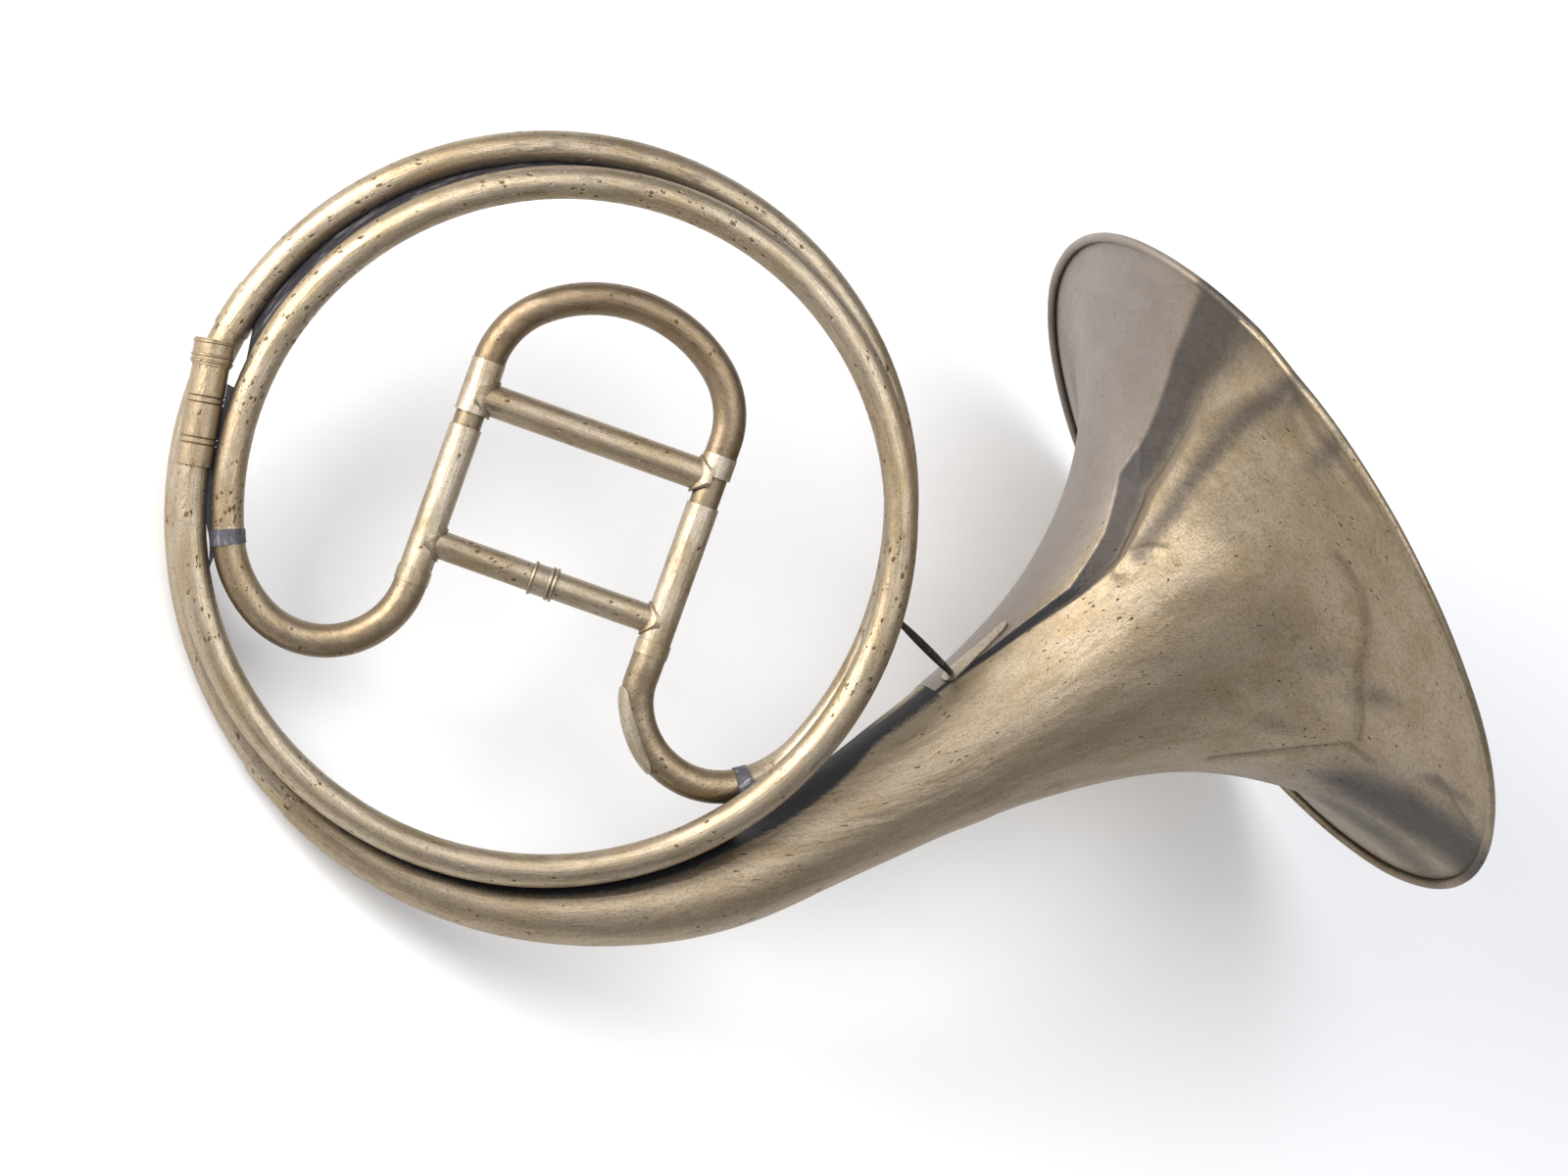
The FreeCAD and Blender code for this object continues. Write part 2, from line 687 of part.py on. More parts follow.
def stay_plate_skin(inward):
    """A full ring of the plate's material round the throat, thickened inwards if asked."""
    first, last = STAY_PLATE_FROM - CUTTER_MARGIN, STAY_PLATE_TO + CUTTER_MARGIN
    return on_bell_axis(bell_sheet(first, last, STAY_PLATE_WALL, inward))


def hoop_side():
    """The point on the back turn's axis behind the stay, and the way outwards from the hoop."""
    return nearest_point(back_upper_runs(), STAY_HOOP_ANGLE)[0], heading(STAY_HOOP_ANGLE)


def stay_ends():
    axis_point, outward = hoop_side()
    hoop_end = axis_point + outward * (BACK_R + HOOP_PAD_WALL / 2)
    distance = STAY_PLATE_TO - STAY_PLATE_HALF_WIDTH
    centre, away = plate_frame(distance)
    bell_end = centre + away * (crossing(bell_curve(0), distance)[1] + STAY_PLATE_WALL / 2)
    return hoop_end, bell_end


def bell_stay_rod():
    """A rod that swells towards its middle, between the hoop and the bell."""
    start, end = stay_ends()
    axis = end - start
    length = axis.Length
    axis.normalize()
    side = axis.cross(FRONT).normalize()
    points = []
    for x, radius in ((0, STAY_ROD_R), (length / 2, STAY_ROD_MIDDLE_R), (length, STAY_ROD_R)):
        points.append(start + axis * x + side * radius)
    edges = [Part.Arc(*points).toShape(), Part.makeLine(points[2], end)]
    edges += [Part.makeLine(end, start), Part.makeLine(start, points[0])]
    body = Part.Face(Part.Wire(edges)).revolve(start, axis, 360)
    solids = body.cut(stay_plate_skin(SHEET)).cut(hoop_pad()).Solids
    return max(solids, key=lambda solid: solid.Volume)


def hoop_pad():
    """A small round pad bent to the back turn, under the rod's end."""
    axis_point, outward = hoop_side()
    disc = rod(axis_point, axis_point + outward * (BACK_R * 2), HOOP_PAD_R)
    reach = FRONT.cross(outward) * (HOOP_PAD_R + CUTTER_MARGIN)
    skin = rod(axis_point - reach, axis_point + reach, BACK_R + HOOP_PAD_WALL)
    body = disc.common(skin)
    return body.cut(tube(back_upper_runs(), BACK_R, 0))


def turn_tie(angle):
    """A short post soldered between the front turn and the back turn."""
    front, _ = nearest_point(front_runs(), angle)
    back, _ = nearest_point(right_gooseneck_runs() + back_upper_runs(), angle)
    post = rod(front, back, TIE_R)
    return post.cut(tube(front_runs()[1:], TUBE_R, 0)).cut(tube(back_upper_runs(), BACK_R, 0))


def nearest_point(runs, angle):
    """The point of a route at an angle round the hoop, and its length along the route."""
    steps = round(route_length(runs) / ROUTE_STEP)
    best = None
    for i in range(steps + 1):
        travelled = route_length(runs) * i / steps
        point, _ = place_on(runs, travelled)
        miss = abs((math.degrees(math.atan2(point.z, point.x)) - angle + 180) % 360 - 180)
        if best is None or miss < best[0]:
            best = (miss, point, travelled)
    return best[1], best[2]


def turn_web(angles, front, outer_runs, outer_radius):
    """A thin web of solder in the slot between the front turn and the tube outside it."""
    first, last = angles
    steps = round((last - first) / WEB_STEP)
    sections = []
    for i in range(steps + 1):
        angle = first + (last - first) * i / steps
        inner, _ = nearest_point(front, angle)
        outer, travelled = nearest_point(outer_runs, angle)
        low = inner + (outer - inner).normalize() * (TUBE_R - WEB_BITE)
        high = outer - heading(angle) * (outer_radius(travelled) - WEB_BITE)
        across = (high - low).cross(heading(angle + 90)).normalize() * WEB_HALF_THICKNESS
        corners = [low + across, high + across, high - across, low - across, low + across]
        sections.append(Part.makePolygon(corners))
    return Part.makeLoft(sections, True).cut(tube(front, TUBE_R, 0))


def upper_turn_web():
    return turn_web(UPPER_WEB, front_runs()[1:], back_upper_runs(), lambda travelled: BACK_R)


def left_turn_web():
    """Where the front turn comes round to the receiver and its own beginning."""
    foot, axis = socket_axis()
    top = foot + axis * SOCKET_LENGTH
    start = [straight(top, axis * -1, SOCKET_LENGTH)] + front_runs()[1:3]
    web = turn_web(LEFT_WEB, front_runs()[-2:], start, lambda travelled: TUBE_R)
    return web.cut(rod(top, foot, SOCKET_FOOT_R)).cut(tube(start[1:], TUBE_R, 0))


def lower_turn_web():
    """Lies against the bell branch, so its outer edge follows the bell's profile."""
    branch = sleeve_runs() + tail_runs()
    whole = AXIS_LENGTH + route_length(branch)
    profile = bell_curve(0)

    def radius(travelled):
        return crossing(profile, whole - travelled)[1]

    web = turn_web(LOWER_WEB, front_runs()[1:], branch, radius).cut(tail_skin(0.0))
    return max(web.Solids, key=lambda solid: solid.Volume)


def receiver_tie():
    """The saddle under the receiver that carries it on the back turn."""
    foot, axis = socket_axis()
    middle = foot + axis * (SOCKET_LENGTH * RECEIVER_TIE_PLACE)
    runs = back_upper_runs() + back_lower_runs()
    back, _ = nearest_point(runs, math.degrees(math.atan2(middle.z, middle.x)))
    socket = rod(foot, foot + axis * SOCKET_LENGTH, SOCKET_FOOT_R)
    return rod(middle, back, TIE_R).cut(socket).cut(tube(runs, BACK_R, 0))


# ---- bands over the joints --------------------------------------------------------------------
def band(runs, middle, length, inner, wall):
    return tube(part_of(runs, middle - length / 2, middle + length / 2), inner + wall, inner)


def gooseneck_band():
    """The solder band where the front turn runs into the left gooseneck."""
    runs = front_runs() + left_gooseneck_runs()
    return band(runs, route_length(front_runs()), BAND_LENGTH, TUBE_R, LEG_RING_WALL)


def back_ferrule():
    runs = back_upper_runs() + back_lower_runs()
    length = math.radians(BACK_FERRULE_DEGREES) * BACK_UPPER_BENDS[-1][0]
    return band(runs, route_length(back_upper_runs()), length, BACK_R, LEG_RING_WALL)


def gooseneck_to_back_band():
    return band(right_gooseneck_runs(), right_joint(), BAND_LENGTH, BACK_R, LEG_RING_WALL)


# ---- every piece ------------------------------------------------------------------------------
def pieces():
    """Name and shape of every separate piece, in the hoop's own frame."""
    left_end, right_end = slide_ends()
    left_stay, right_stay = slide_stay_points()
    left_fixed, right_fixed = fixed_stay_points()
    made = {
        "receiver_socket": receiver_socket(),
        "receiver_collar": receiver_collar(),
        "front_turn_tube": tube(front_runs(), TUBE_R, TUBE_BORE_R),
        "left_gooseneck_band": gooseneck_band(),
        "left_gooseneck": tube(left_gooseneck_runs(), TUBE_R, TUBE_BORE_R),
        "left_outer_leg": outer_leg(left_foot(), LEFT_LEG_LENGTH),
        "left_leg_ring": leg_ring(left_foot()),
        "right_outer_leg": outer_leg(right_foot(), RIGHT_LEG_LENGTH),
        "right_leg_ring": leg_ring(right_foot()),
        "fixed_stay_left_half": fixed_stay_half(True),
        "fixed_stay_right_half": fixed_stay_half(False),
        "fixed_stay_ferrule": fixed_stay_ferrule(),
        "fixed_stay_left_saddle": saddle(left_fixed, OUTER_LEG_R, ACROSS, FIXED_STAY_R),
        "fixed_stay_right_saddle": saddle(right_fixed, OUTER_LEG_R, ACROSS * -1, FIXED_STAY_R),
        "slide_bow": tube(bow_runs(), BOW_R, INNER_BORE_R),
        "slide_left_ferrule": slide_ferrule(left_end, LEFT_FERRULE_LENGTH),
        "slide_right_ferrule": slide_ferrule(right_end, RIGHT_FERRULE_LENGTH),
        "slide_left_inner_leg": inner_leg(left_foot(), LEFT_LEG_LENGTH, left_end),
        "slide_right_inner_leg": inner_leg(right_foot(), RIGHT_LEG_LENGTH, right_end),
        "slide_stay": stay_tube(left_stay, right_stay, SLIDE_STAY_R, SLIDE_FERRULE_R, SLIDE_FERRULE_R),
        "slide_stay_left_saddle": saddle(left_stay, SLIDE_FERRULE_R, ACROSS, SLIDE_STAY_R),
        "slide_stay_right_saddle": slide_saddle_right(),
        "right_gooseneck": tube(part_of(right_gooseneck_runs(), 0, right_joint()), TUBE_R, TUBE_BORE_R),
        "gooseneck_guard_plate": guard_plate(),
        "right_gooseneck_band": gooseneck_to_back_band(),
        "back_turn_upper_tube": tube(back_upper_tube_runs(), BACK_R, BACK_BORE_R),
        "back_turn_ferrule": back_ferrule(),
        "back_turn_lower_tube": tube(back_lower_runs() + sleeve_runs(), BACK_R, BACK_BORE_R),
        "bell_sleeve": bell_sleeve(),
        "bell_tail": bell_tail(),
        "bell_flare": bell_flare(),
        "bell_rim_wire": bell_rim_wire(),
        "bell_stay_rod": bell_stay_rod(),
        "bell_stay_plate": bell_stay_plate(),
        "bell_stay_hoop_pad": hoop_pad(),
        "receiver_tie": receiver_tie(),
        "upper_turn_web": upper_turn_web(),
        "lower_turn_web": lower_turn_web(),
        "left_turn_web": left_turn_web(),
    }
    for name, angle in TIE_ANGLES:
        made[name] = turn_tie(angle)
    return made


def rest_placement(shapes):
    """Turns the hoop's frame so that the horn lies at rest, with the origin under its middle."""
    lay = FreeCAD.Rotation(Vec(1, 0, 0), -90)
    spin = FreeCAD.Rotation(Vec(0, 1, 0), -REST_PITCH).multiply(lay)
    spin = FreeCAD.Rotation(Vec(1, 0, 0), REST_ROLL).multiply(spin)
    spin = FreeCAD.Rotation(Vec(0, 0, 1), REST_YAW).multiply(spin)
    low = Vec(1e9, 1e9, 1e9)
    high = low * -1
    for shape in shapes:
        laid = shape.transformed(FreeCAD.Placement(Vec(), spin).toMatrix(), True)
        box = laid.optimalBoundingBox(False, False)
        low = Vec(min(low.x, box.XMin), min(low.y, box.YMin), min(low.z, box.ZMin))
        high = Vec(max(high.x, box.XMax), max(high.y, box.YMax), max(high.z, box.ZMax))
    return FreeCAD.Placement(Vec(-(low.x + high.x) / 2, -(low.y + high.y) / 2, -low.z), spin)


def main():
    os.makedirs(OUT_DIR, exist_ok=True)
    made = pieces()
    rest = rest_placement(list(made.values()))
    for name, shape in made.items():
        laid = shape.transformed(rest.toMatrix(), True)
        solids = laid.Solids
        print(f"{name:28s} solids {len(solids)} valid {laid.isValid()} volume {laid.Volume:10.1f}")
        out = solids[0] if len(solids) == 1 else Part.makeCompound(solids)
        out.exportStep(f"{OUT_DIR}/{name}.step")


if __name__ == "__main__":
    main()
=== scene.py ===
import json
import math

import bpy
import numpy as np
from mathutils import Matrix, Vector


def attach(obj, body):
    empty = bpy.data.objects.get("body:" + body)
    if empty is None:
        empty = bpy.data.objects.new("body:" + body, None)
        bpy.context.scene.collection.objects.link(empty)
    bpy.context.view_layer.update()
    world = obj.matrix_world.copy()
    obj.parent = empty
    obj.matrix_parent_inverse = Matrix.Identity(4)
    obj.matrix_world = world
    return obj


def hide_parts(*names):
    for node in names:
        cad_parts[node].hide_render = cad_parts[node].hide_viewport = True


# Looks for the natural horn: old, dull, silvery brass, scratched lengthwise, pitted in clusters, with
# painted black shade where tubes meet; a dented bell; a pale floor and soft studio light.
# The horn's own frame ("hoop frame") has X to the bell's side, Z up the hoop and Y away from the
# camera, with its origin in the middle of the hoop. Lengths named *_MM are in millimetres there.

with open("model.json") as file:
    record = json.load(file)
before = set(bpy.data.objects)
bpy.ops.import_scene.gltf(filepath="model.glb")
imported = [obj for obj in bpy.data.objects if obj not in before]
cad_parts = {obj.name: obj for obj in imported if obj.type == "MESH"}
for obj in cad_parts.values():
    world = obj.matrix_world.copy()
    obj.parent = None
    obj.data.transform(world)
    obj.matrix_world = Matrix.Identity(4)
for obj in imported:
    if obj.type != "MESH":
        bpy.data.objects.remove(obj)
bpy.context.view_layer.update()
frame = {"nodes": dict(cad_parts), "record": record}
nodes = frame["nodes"]
mounts = {mount["name"]: mount for mount in frame["record"]["mounts"]}

MM = 0.001
HORN = "horn_body"

# ---- the hoop frame at rest ---------------------------------------------------------------------
REST_PITCH = 29.2
REST_ROLL = 12.5
RECEIVER_MID_MM = Vector((-133.614, 0.0, 52.051))  # middle of the crook's bore, in the hoop frame
LEG_LEAN = 19.6  # the tuning slide's direction, degrees right of the hoop's Z

rest_turn = (
    Matrix.Rotation(math.radians(REST_ROLL), 3, "X")
    @ Matrix.Rotation(math.radians(-REST_PITCH), 3, "Y")
    @ Matrix.Rotation(math.radians(-90), 3, "X")
)
receiver = Vector(mounts["crook_receiver"]["pos_m"])
hoop_centre = receiver - rest_turn @ RECEIVER_MID_MM * MM


def hoop_point(x, y, z):
    """World place, in metres, of a point given in millimetres in the hoop frame."""
    return hoop_centre + rest_turn @ Vector((x, y, z)) * MM


def hoop_direction(x, y, z):
    return (rest_turn @ Vector((x, y, z))).normalized()


# ---- the bell's frame ---------------------------------------------------------------------------
MOUTH_HEADING = 30.6
MOUTH_LEAN = 16.3
MOUTH_MM = (281.0, 96.12, -13.4)
TAIL_JOINT_MM = 150.0
JOINT_LAP_MM = 1.5  # the sheet runs this far over the branch, and this much proud of it:
JOINT_PROUD_MM = 0.05
SHEET_MM = 0.7
RIM_WIRE_R_MM = 1.25
RIM_CURL_DEGREES = 300.0
# (distance from the mouth along the axis, outer radius)
BELL_PROFILE_MM = (
    (0.0, 146.6), (4.0, 136.0), (12.0, 117.5), (24.0, 96.8), (40.0, 78.6), (60.0, 62.3),
    (85.0, 48.2), (112.0, 38.2), (150.0, 29.6), (196.0, 23.4),
)

mouth_centre = hoop_point(*MOUTH_MM)
mouth_axis = hoop_direction(
    math.cos(math.radians(MOUTH_HEADING)) * math.cos(math.radians(MOUTH_LEAN)),
    math.sin(math.radians(MOUTH_LEAN)),
    math.sin(math.radians(MOUTH_HEADING)) * math.cos(math.radians(MOUTH_LEAN)),
)
hoopwards = hoop_direction(
    -math.sin(math.radians(MOUTH_HEADING)), 0, math.cos(math.radians(MOUTH_HEADING))
)
bell_turn = Matrix((mouth_axis, hoopwards, mouth_axis.cross(hoopwards))).transposed()
# the third axis points to the front or away from it; degrees are counted towards the front
BELL_SIDE = 1.0 if bell_turn.col[2].dot(hoop_direction(0, -1, 0)) > 0 else -1.0
frontwards = bell_turn.col[2] * BELL_SIDE
HOOP_R_MM = 130.0
BELL_GIRTH_R_MM = 60.0  # the bell's pattern is as wide as it would be at this radius
RING_LENGTH_AT_MOUTH = 83.0  # keeps the bell's pattern in step with the hoop's where they meet


# ---- node trees ---------------------------------------------------------------------------------
class Graph:
    """Short calls for building one material's node tree."""

    def __init__(self, name):
        self.material = bpy.data.materials.new(name)
        self.material.use_nodes = True
        self.tree = self.material.node_tree
        self.tree.nodes.clear()

    def add(self, kind, inputs=None, **settings):
        node = self.tree.nodes.new(kind)
        for key, value in settings.items():
            setattr(node, key, value)
        for key, value in (inputs or {}).items():
            self.put(node.inputs[key], value)
        return node

    def put(self, socket, value):
        if isinstance(value, bpy.types.NodeSocket):
            self.tree.links.new(value, socket)
        else:
            socket.default_value = value

    def math(self, operation, *values, clamp=False):
        node = self.add("ShaderNodeMath", operation=operation, use_clamp=clamp)
        for socket, value in zip(node.inputs, values):
            self.put(socket, value)
        return node.outputs[0]

    def between(self, value, low, high):
        """0 below low, 1 above high, smooth in between; low above high turns it round."""
        node = self.add("ShaderNodeMapRange", interpolation_type="SMOOTHSTEP")
        swapped = low > high
        self.put(node.inputs["Value"], value)
        self.put(node.inputs["From Min"], min(low, high))
        self.put(node.inputs["From Max"], max(low, high))
        self.put(node.inputs["To Min"], 1.0 if swapped else 0.0)
        self.put(node.inputs["To Max"], 0.0 if swapped else 1.0)
        return node.outputs[0]

    def mix(self, factor, first, second):
        node = self.add("ShaderNodeMix", data_type="RGBA")
        self.put(node.inputs["Factor"], factor)
        self.put(node.inputs["A"], colour(first))
        self.put(node.inputs["B"], colour(second))
        return node.outputs["Result"]

    def noise(self, vector, scale, detail=3.0, roughness=0.55):
        inputs = {"Vector": vector, "Scale": scale, "Detail": detail, "Roughness": roughness}
        return self.add("ShaderNodeTexNoise", inputs).outputs["Fac"]

    def stretched(self, vector, x, y, z):
        """The same coordinates, scaled along each axis."""
        return self.add("ShaderNodeMapping", {"Vector": vector, "Scale": (x, y, z)}).outputs[0]

    def spots(self, vector, scale, size, share):
        """Rounded spots, 1 inside and 0 outside, in a share of a pattern's cells."""
        cells = self.add("ShaderNodeTexVoronoi", {"Vector": vector, "Scale": scale})
        pick = self.add("ShaderNodeSeparateColor", {"Color": cells.outputs["Color"]})
        reach = self.math("MULTIPLY", pick.outputs[1], size)
        inside = self.math("SUBTRACT", reach, cells.outputs["Distance"])
        shape = self.between(inside, 0.0, size * 0.35)
        chosen = self.math("GREATER_THAN", share, pick.outputs[0])
        return self.math("MULTIPLY", shape, chosen)


def colour(value):
    """A colour as a node socket takes it."""
    if isinstance(value, tuple) and len(value) == 3:
        return (*value, 1.0)
    return value


# ---- coordinates that follow the metal, in millimetres --------------------------------------------
def local_millimetres(graph, turn, centre):
    """Coordinates in a frame given by a rotation and an origin, both in the world at rest."""
    back = turn.transposed()
    place = graph.add("ShaderNodeTexCoord").outputs["Object"]
    shift = -(back @ centre) / MM
    inputs = {
        "Vector": place, "Scale": (1 / MM,) * 3, "Location": tuple(shift),
        "Rotation": tuple(back.to_euler()),
    }
    node = graph.add("ShaderNodeMapping", inputs, vector_type="POINT")
    return node.outputs[0]


def along_ring(graph):
    """(length round the hoop, radius from its centre, depth)."""
    local = local_millimetres(graph, rest_turn, hoop_centre)
    parts = graph.add("ShaderNodeSeparateXYZ", {"Vector": local}).outputs
    angle = graph.math("ARCTAN2", parts[2], parts[0])
    squares = graph.math("ADD", graph.math("POWER", parts[0], 2), graph.math("POWER", parts[2], 2))
    radius = graph.math("SQRT", squares)
    length = graph.math("MULTIPLY", angle, HOOP_R_MM)
    return graph.add("ShaderNodeCombineXYZ", {0: length, 1: radius, 2: parts[1]}).outputs[0]


def along_legs(graph):
    """(length along the slide's legs, across them, depth)."""
    lean = Matrix.Rotation(math.radians(LEG_LEAN), 3, "Y")
    local = local_millimetres(graph, rest_turn @ lean, hoop_centre)
    parts = graph.add("ShaderNodeSeparateXYZ", {"Vector": local}).outputs
    return graph.add("ShaderNodeCombineXYZ", {0: parts[2], 1: parts[0], 2: parts[1]}).outputs[0]


def along_stays(graph):
    """(length along the stays, across them, depth)."""
    lean = Matrix.Rotation(math.radians(LEG_LEAN), 3, "Y")
    return local_millimetres(graph, rest_turn @ lean, hoop_centre)


def bell_places(graph):
    """Distance from the mouth, degrees round from the hoop's side to the front, and radius."""
    local = local_millimetres(graph, bell_turn, mouth_centre)
    parts = graph.add("ShaderNodeSeparateXYZ", {"Vector": local}).outputs
    distance = graph.math("MULTIPLY", parts[0], -1.0)
    # measured from the front, so that the count's jump from 270 to -90 lies at the back
    angle = graph.math("ARCTAN2", parts[1], graph.math("MULTIPLY", parts[2], BELL_SIDE))
    degrees = graph.math("MULTIPLY_ADD", angle, -180 / math.pi, 90.0)
    squares = graph.math("ADD", graph.math("POWER", parts[1], 2), graph.math("POWER", parts[2], 2))
    return distance, degrees, graph.math("SQRT", squares)


def along_bell(graph):
    """(length towards the mouth, length round the bell, radius), in step with along_ring."""
    distance, degrees, radius = bell_places(graph)
    length = graph.math("SUBTRACT", RING_LENGTH_AT_MOUTH, distance)
    girth = graph.math("MULTIPLY", degrees, math.radians(BELL_GIRTH_R_MM))
    return graph.add("ShaderNodeCombineXYZ", {0: length, 1: girth, 2: radius}).outputs[0]


def along_branch(graph):
    """The bell's coordinates near the flare, and the hoop's further back."""
    distance, _, _ = bell_places(graph)
    further_back = graph.between(distance, 165.0, 270.0)
    node = graph.add("ShaderNodeMix", {"Factor": further_back}, data_type="VECTOR")
    graph.put(node.inputs[4], along_bell(graph))
    graph.put(node.inputs[5], along_ring(graph))
    return node.outputs[1]


# ---- the metal ----------------------------------------------------------------------------------
PALE = (0.43, 0.355, 0.26)
WARM = (0.34, 0.26, 0.155)
GREY = (0.20, 0.18, 0.165)
LILAC = (0.27, 0.245, 0.245)
BROWN = (0.085, 0.05, 0.016)
# smoky tarnish; the bell also takes this colour for its painted shade
SMOKE_AND_SHADE = (0.072, 0.062, 0.058)
BLACK = (0.012, 0.012, 0.016)


PITTED_STRETCHES = ((54.0, 70.0), (82.0, 101.0), (121.0, 152.0))  # degrees round the hoop


def aged_brass(
    name, follow, pale=PALE, warm=WARM, grey=GREY, pits=0.5, corner_shade=1.0, patina=0.4, dull=0.30,
    streaks=1.0, pit_size=0.52, corner_shade_reach=0.007, tarnished=0.55, painted=None, crowded=None,
):
    """Dull old brass: cloudy colour, lengthwise scratches, pits in clusters, painted black shade in the
    corners.
    """
    graph = Graph(name)
    metal = follow(graph)

    clouds = graph.noise(graph.stretched(metal, 0.35, 1.0, 1.0), 0.07, 5.0, 0.7)
    freckle = graph.noise(metal, 0.45, 4.0, 0.7)
    streak = graph.noise(graph.stretched(metal, 0.02, 1.0, 1.0), 1.3, 4.0, 0.7)
    hair = graph.noise(graph.stretched(metal, 0.012, 1.6, 1.6), 3.4, 2.0, 0.5)
    tarnish = graph.noise(graph.stretched(metal, 0.30, 1.0, 1.0), 0.16, 4.0, 0.75)

    base = graph.mix(graph.between(clouds, 0.38, 0.66), pale, warm)
    base = graph.mix(graph.math("MULTIPLY", graph.between(freckle, 0.52, 0.78), patina), base, grey)
    worn = graph.math("MULTIPLY", graph.between(streak, 0.50, 0.72), 0.60 * streaks)
    base = graph.mix(worn, base, grey)
    scratch = graph.between(hair, 0.58, 0.68)
    base = graph.mix(graph.math("MULTIPLY", scratch, 0.50 * streaks), base, BROWN)
    smoked = graph.math("MULTIPLY", graph.between(tarnish, 0.56, 0.74), tarnished)
    base = graph.mix(smoked, base, SMOKE_AND_SHADE)

    # pits: long cells, present mostly where a slow noise is high
    where = graph.noise(metal, 0.028, 2.0, 0.5)
    cluster = graph.between(where, 0.47, 0.66)
    if crowded:
        cluster = graph.math("MAXIMUM", cluster, crowded(graph, metal))
    share = graph.math("MULTIPLY_ADD", cluster, 0.85 * pits, 0.12 * pits)
    cells = graph.stretched(metal, 0.62, 1.0, 1.0)
    warp = graph.noise(metal, 0.9, 2.0, 0.6)
    bent = graph.add("ShaderNodeVectorMath", operation="ADD")
    graph.put(bent.inputs[0], cells)
    graph.put(bent.inputs[1], graph.math("MULTIPLY", warp, 2.0))
    pit = graph.spots(bent.outputs[0], 0.55, pit_size, share)
    speck = graph.spots(graph.stretched(metal, 0.8, 1.0, 1.0), 1.5, 0.42, 0.16 * pits)
    marks = graph.math("MAXIMUM", pit, graph.math("MULTIPLY", speck, 0.7))
    base = graph.mix(graph.math("MULTIPLY", marks, 0.82), base, BROWN)

    grain = graph.noise(metal, 1.1, 2.0, 0.6)
    base = graph.mix(graph.math("MULTIPLY", graph.between(grain, 0.45, 0.70), 0.30), base, BROWN)
    blackness = 0.0
    # the hooks paint patina and tint, and give back a mask of painted shade that joins the corners'
    # shade
    if painted:
        base, blackness = painted(graph, base, freckle)

    # painted shade in the corners and slots: ambient occlusion, made uneven by the freckle noise, turns
    # them brown and then black
    shade = graph.add("ShaderNodeAmbientOcclusion", {"Distance": corner_shade_reach}, samples=6)
    uneven = graph.math("MULTIPLY_ADD", freckle, 0.5, -0.25)
    corner = graph.math("ADD", shade.outputs["AO"], uneven)
    painted_shade = graph.math("MULTIPLY", graph.between(corner, 0.62, 0.22), corner_shade, clamp=True)
    painted_shade = graph.math("MAXIMUM", painted_shade, blackness)
    edge = graph.math("MULTIPLY", graph.between(corner, 0.86, 0.50), corner_shade * 0.45, clamp=True)
    base = graph.mix(edge, base, BROWN)
    base = graph.mix(painted_shade, base, BLACK)

    rough = graph.math("MULTIPLY_ADD", clouds, 0.16, dull - 0.08)
    rough = graph.math("MULTIPLY_ADD", streak, 0.18, rough)
    rough = graph.math("MULTIPLY_ADD", marks, 0.25, rough)
    rough = graph.math("MULTIPLY_ADD", painted_shade, 0.3, rough, clamp=True)
    metallic = graph.math("SUBTRACT", 0.93, graph.math("MULTIPLY", painted_shade, 0.75), clamp=True)

    height = graph.math("MULTIPLY", marks, -0.30)
    height = graph.math("MULTIPLY_ADD", hair, 0.07, height)
    height = graph.math("MULTIPLY_ADD", streak, 0.20, height)
    height = graph.math("MULTIPLY_ADD", freckle, 0.12, height)
    slow = graph.noise(graph.stretched(metal, 0.5, 1.0, 1.0), 0.09, 2.0, 0.5)
    height = graph.math("MULTIPLY_ADD", slow, 0.9, height)
    bump = graph.add("ShaderNodeBump", {"Height": height, "Distance": MM, "Strength": 0.75})

    shader = graph.add("ShaderNodeBsdfPrincipled")
    graph.put(shader.inputs["Base Color"], base)
    graph.put(shader.inputs["Metallic"], metallic)
    graph.put(shader.inputs["Roughness"], rough)
    graph.put(shader.inputs["Normal"], bump.outputs[0])
    out = graph.add("ShaderNodeOutputMaterial")
    graph.put(out.inputs["Surface"], shader.outputs[0])
    return graph.material


def paint_bell(graph, base, freckle):
    """Colour laid on the sheet: a painted greyish-lilac reflection towards the hoop, painted shade that
    is smoky on the fold and black by the throat, and patina patches.
    """
    _, degrees, _ = bell_places(graph)
    ragged = graph.math("MULTIPLY_ADD", freckle, 24.0, -12.0)
    turned = graph.math("ADD", degrees, ragged)
    below_fold = graph.between(turned, 48.0, 30.0)
    # painted reflection: the side towards the hoop is tinted a greyish lilac for the light it catches
    # there
    hoop_side = graph.math("MULTIPLY", below_fold, graph.between(turned, -80.0, -50.0))
    base = graph.mix(graph.math("MULTIPLY", hoop_side, 0.6), base, LILAC)
    # the 'patina' attribute holds patina patches and painted shade: the fold's slope, the band below it,
    # the creases and the lower rim
    marks = graph.add("ShaderNodeAttribute", attribute_name="patina", attribute_type="GEOMETRY")
    stain_and_shade = graph.math("ADD", marks.outputs["Fac"], graph.math("MULTIPLY_ADD", freckle, 0.3, -0.15))
    # painted shade and patina darken the sheet to a smoky grey
    base = graph.mix(graph.math("MULTIPLY", graph.between(stain_and_shade, 0.05, 0.90), 0.85), base, SMOKE_AND_SHADE)
    # painted shade, smoky on the fold and black by the throat, also dulls the metal
    smoky_shade = graph.math("MULTIPLY", graph.between(stain_and_shade, 0.10, 0.85), 0.45)
    black = graph.math("MULTIPLY", graph.between(stain_and_shade, 0.88, 1.05), 0.9)
    return base, graph.math("MAXIMUM", smoky_shade, black)


